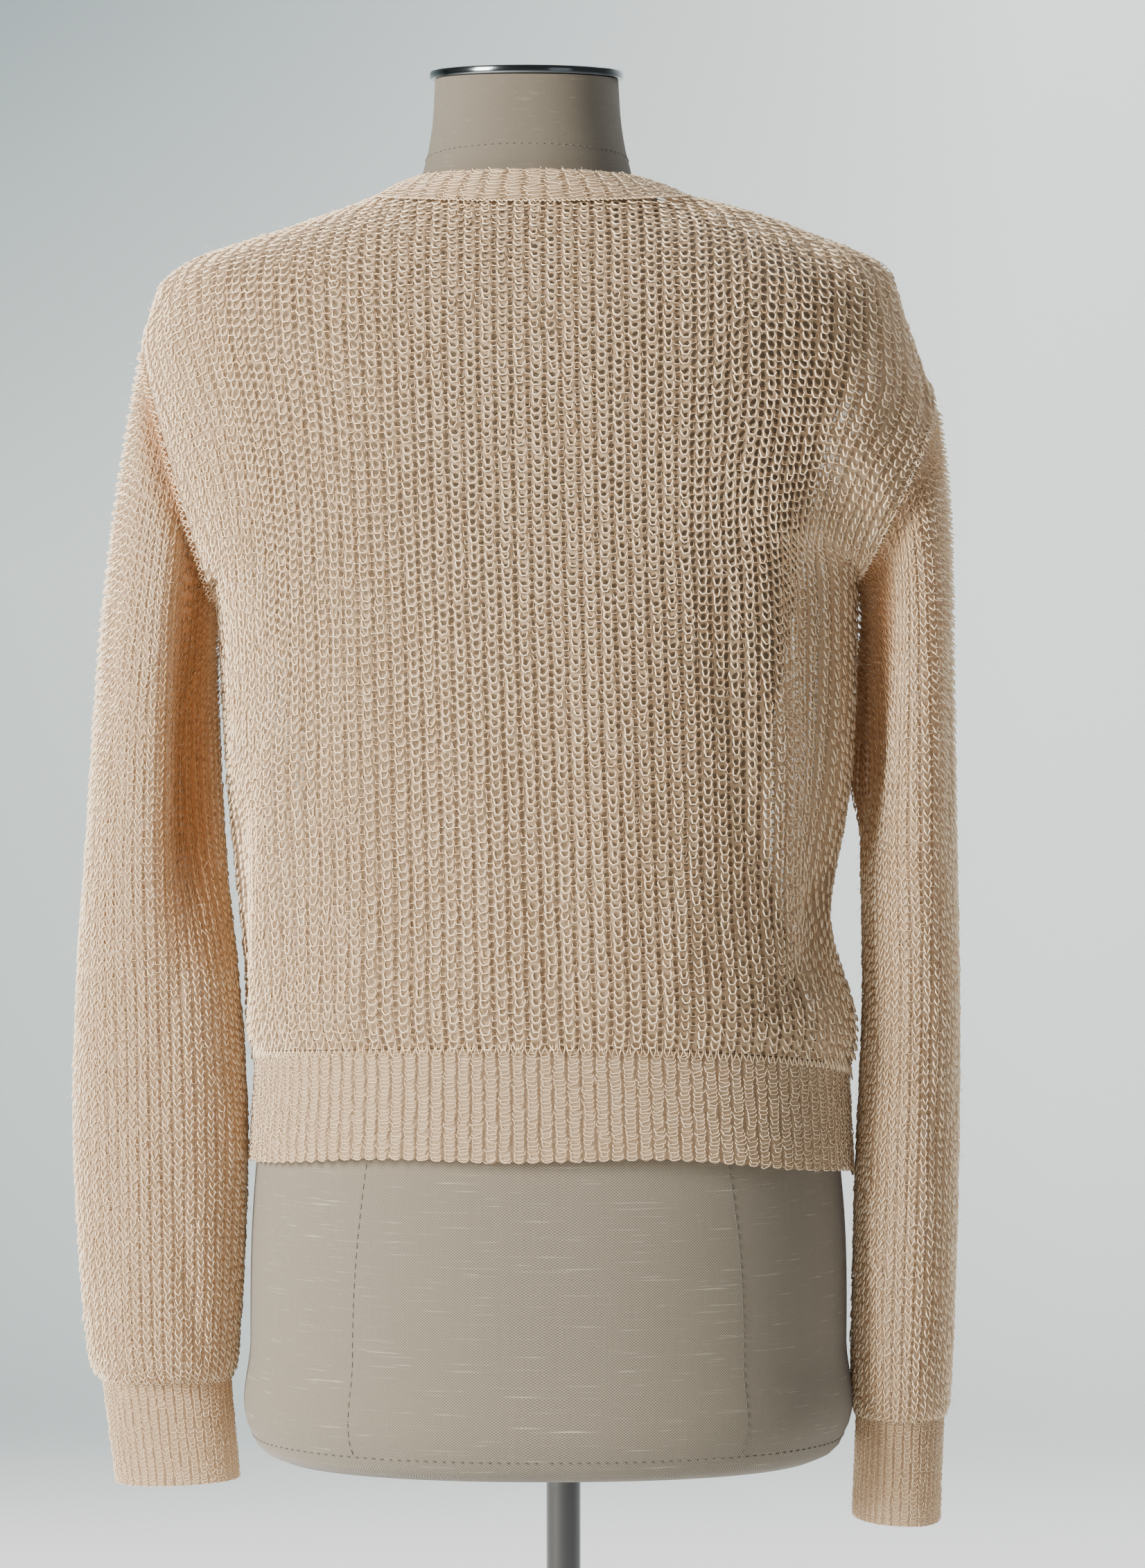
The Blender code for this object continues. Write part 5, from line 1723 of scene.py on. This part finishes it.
cap_low, cap_high = (float(corner[2]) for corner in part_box("neck_cap"))
middle = float(follow(LEAN, "middle", FORM_TOP))
plate_profile = [
    (0.0, cap_low),
    *rounded_rim(CAP_RADIUS, cap_low, cap_high, *PLATE_RIM),
    (DIMPLE_RADIUS, cap_high),
    (0.0, cap_high - DIMPLE_DEPTH),
]
plate = turned("neck_plate", plate_profile, middle, metal, "polished_steel")
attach(plate, "root")
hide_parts("neck_cap")

pole_low, pole_high = (float(corner[2]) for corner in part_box("pole"))
pole_radius = float(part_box("pole")[1][0])
pole_profile = [(0.0, pole_low), (pole_radius, pole_low), (pole_radius, pole_high), (0.0, pole_high)]
tube = turned("pole_tube", pole_profile, 0.0, lacquer, "black_lacquer")
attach(tube, "root")
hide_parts("pole")

base_radius = float(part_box("base")[1][0])
foot_profile = [
    (0.0, 0.0),
    *rounded_rim(base_radius, 0.0, BASE_HEIGHT, *BASE_RIM),
    (BOSS_RADIUS + BOSS_FILLET, BASE_HEIGHT),
    (BOSS_RADIUS, BASE_HEIGHT + BOSS_FILLET),
    (BOSS_RADIUS, BOSS_HEIGHT - 2.5 * MM),
    (BOSS_RADIUS - 0.8 * MM, BOSS_HEIGHT - 0.6 * MM),
    (BOSS_RADIUS - 2.5 * MM, BOSS_HEIGHT),
    (0.0, BOSS_HEIGHT),
]
foot = turned("base_plate", foot_profile, 0.0, lacquer, "black_lacquer")
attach(foot, "root")
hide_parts("base")
print("stand turned: plate", len(plate.data.polygons), "faces, foot", len(foot.data.polygons))

# %% [markdown]
# ## Knitted pieces
# The pullover's knitted pieces are counted.

print("declared", len(knitted), "sheets")

# %% [markdown]
# ## Studio
# A pale seamless sweep behind the form, one broad soft light from the left, a weak fill from the
# right and a light on the sweep. The sweep is a grid bent up into a curve. Its paper is clear when
# it is looked at from behind, so that the form can be seen from every side, and far from the form the
# floor fades into the same pale tone as the sky, which hides the horizon.

# %% Floor and backdrop
SWEEP_START, SWEEP_FLAT, SWEEP_BEND, SWEEP_RUN, SWEEP_HALF_WIDTH = -8.0, 9.6, 0.9, 12.5, 8.0
SKY, SKY_BRIGHTNESS, SKY_LIGHT = "#DDE4E6", 1.1, 0.25
bm = bmesh.new()
bmesh.ops.create_grid(bm, x_segments=8, y_segments=120, size=1.0)
for vert in bm.verts:
    run = (vert.co.y + 1) / 2 * SWEEP_RUN
    x = vert.co.x * SWEEP_HALF_WIDTH
    turn = min(max((run - SWEEP_FLAT) / SWEEP_BEND, 0.0), math.pi / 2)
    wall = max(run - SWEEP_FLAT - SWEEP_BEND * math.pi / 2, 0.0)
    level = SWEEP_START + min(run, SWEEP_FLAT)
    vert.co = (x, level + SWEEP_BEND * math.sin(turn), SWEEP_BEND * (1 - math.cos(turn)) + wall)
bmesh.ops.recalc_face_normals(bm, faces=bm.faces[:])
bm.faces.ensure_lookup_table()
if bm.faces[0].normal.z < 0:
    bmesh.ops.reverse_faces(bm, faces=bm.faces[:])
mesh = bpy.data.meshes.new("studio_sweep")
bm.to_mesh(mesh)
bm.free()
mesh.shade_smooth()
sweep = bpy.data.objects.new("studio_sweep", mesh)
bpy.context.scene.collection.objects.link(sweep)
print("sweep", len(mesh.polygons), "faces")

# %% [markdown]
# ## Paper
# The sweep is matt paper. It darkens to the left, as in the photo, and more so high up where the light
# doesn't reach; near the form its floor is almost white. All of this follows places on the paper.

# %% Paper finish
paper, tree = new_finish("matt_paper")
place = node(tree, "TexCoord").outputs["Object"]
where = node(tree, "SeparateXYZ", Vector=place)
# Painted shade and light: the paper is darker to the left and in the upper left corner, and a painted pool of
# light makes its floor almost white near the form.
run = node(tree, "MapRange", Value=where.outputs[0], From_Min=-0.65, From_Max=0.45).outputs[0]
level = node(tree, "Mix", {"data_type": "RGBA"}, _0=run, _6="#ADB8B8", _7="#D3D8D7").outputs[2]
corner = node(tree, "MapRange", Value=where.outputs[2], From_Min=0.7, From_Max=1.25, To_Max=1.0).outputs[0]
left = node(tree, "Math", {"operation": "SUBTRACT"}, _0=1.0, _1=run).outputs[0]
shaded = node(tree, "Math", {"operation": "MULTIPLY"}, _0=corner, _1=left).outputs[0]
painted_corner_shade = node(tree, "Mix", {"data_type": "RGBA"}, _0=shaded, _6=level, _7="#7C888C").outputs[2]
painted_floor_light = node(
    tree, "MapRange", {"interpolation_type": "SMOOTHSTEP"}, Value=where.outputs[1], From_Min=1.75,
    From_Max=0.7, To_Min=0.0, To_Max=1.0,
).outputs[0]
paper_with_painted_light = node(tree, "Mix", {"data_type": "RGBA"}, _0=painted_floor_light, _6=painted_corner_shade, _7="#FBFCFA").outputs[2]
shader = node(tree, "BsdfPrincipled", Base_Color=paper_with_painted_light, Roughness=0.95, Specular_IOR_Level=0.1)
# Painted glow: far from the form, and for camera rays only, the paper glows in the sky's tone, which hides
# the horizon.
far = node(tree, "VectorMath", {"operation": "LENGTH"}, _0=place).outputs["Value"]
painted_far_glow = node(
    tree, "MapRange", {"interpolation_type": "SMOOTHSTEP"}, Value=far, From_Min=3.1, From_Max=6.5
).outputs[0]
looked_at = node(tree, "LightPath").outputs["Is Camera Ray"]
fading = node(tree, "Math", {"operation": "MULTIPLY"}, _0=painted_far_glow, _1=looked_at).outputs[0]
horizon_glow = node(tree, "Emission", Color=SKY, Strength=SKY_BRIGHTNESS)
faded = node(tree, "MixShader", _0=fading, _1=shader.outputs[0], _2=horizon_glow.outputs[0])
behind = node(tree, "NewGeometry").outputs["Backfacing"]
clear = node(tree, "BsdfTransparent")
one_sided = node(tree, "MixShader", _0=behind, _1=faded.outputs[0], _2=clear.outputs[0])
node(tree, "OutputMaterial", Surface=one_sided.outputs[0])
mesh.materials.append(paper)
print("paper finish made with", len(tree.nodes), "nodes, clear from behind")

# %% [markdown]
# ## Lights
# One large soft light stands to the left of the camera and rather low. It rakes over the knitting, so
# that every loop has a bright side and a shaded one. The lights themselves are hidden from the camera,
# because some views would look straight into them.


# %% Lights
def soft_light(name, place, target, size, watts, colour):
    """A rectangular soft light that points at a target."""
    lamp = bpy.data.lights.new(name, "AREA")
    lamp.shape = "RECTANGLE"
    lamp.size, lamp.size_y = size
    lamp.energy = watts
    lamp.color = linear(colour)[:3]
    holder = bpy.data.objects.new(name, lamp)
    holder.location = place
    holder.rotation_euler = (Vector(target) - Vector(place)).to_track_quat("-Z", "Y").to_euler()
    holder.visible_camera = False
    bpy.context.scene.collection.objects.link(holder)
    return holder


soft_light("key_left", (-2.5, -1.85, 1.6), (0, 0, 0.62), (1.1, 1.8), 385, "#FFFBF4")
soft_light("fill_right", (2.2, -2.6, 1.1), (0, 0, 0.6), (1.6, 1.8), 8, "#F2F6FF")
soft_light("sweep_light", (1.3, 0.8, 2.6), (0.7, 2.5, 0.6), (1.8, 1.0), 70, "#F4F8FF")

world = bpy.data.worlds.new("studio")
bpy.context.scene.world = world
world.use_nodes = True
tree = world.node_tree
tree.nodes.clear()
seen = node(tree, "LightPath").outputs["Is Camera Ray"]
bright = node(tree, "MapRange", Value=seen, To_Min=SKY_LIGHT, To_Max=SKY_BRIGHTNESS).outputs[0]
sky = node(tree, "Background", Color=SKY, Strength=bright)
node(tree, "OutputWorld", Surface=sky.outputs[0])
print("lights:", [lamp.name for lamp in bpy.data.lights])

# %% [markdown]
# ## Camera
# The photo was taken from a little over three metres with a long lens, about level with the upper back
# and dipped a little. The distance shows in how little the neck plate opens to an ellipse.

# %% Camera
VIEW_ANGLE, VIEW_DIP = 15.2, 2.69
VIEW_PLACE = (0.005, -3.26, 0.7617)
FAR_CLIP = 60
view = bpy.data.cameras.new("photo_view")
view.sensor_fit = "VERTICAL"
view.angle = math.radians(VIEW_ANGLE)
view.clip_end = FAR_CLIP
eye = bpy.data.objects.new("photo_view", view)
eye.location = VIEW_PLACE
eye.rotation_euler = (math.radians(90 - VIEW_DIP), 0, 0)
bpy.context.scene.collection.objects.link(eye)
bpy.context.scene.camera = eye
print("camera at", [round(c, 3) for c in eye.location])

# %% [markdown]
# ## Triangle count
# The last cell counts all the triangles, and names a piece with its count where the piece is large.

# %% Triangle count
LARGE_PIECE = 60000
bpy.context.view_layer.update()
total = 0
for piece in bpy.data.objects:
    if piece.type == "MESH" and not piece.hide_render:
        piece.data.calc_loop_triangles()
        count = len(piece.data.loop_triangles)
        total += count
        if count > LARGE_PIECE:
            print(piece.name, count, "triangles")
print("all together", total, "triangles")
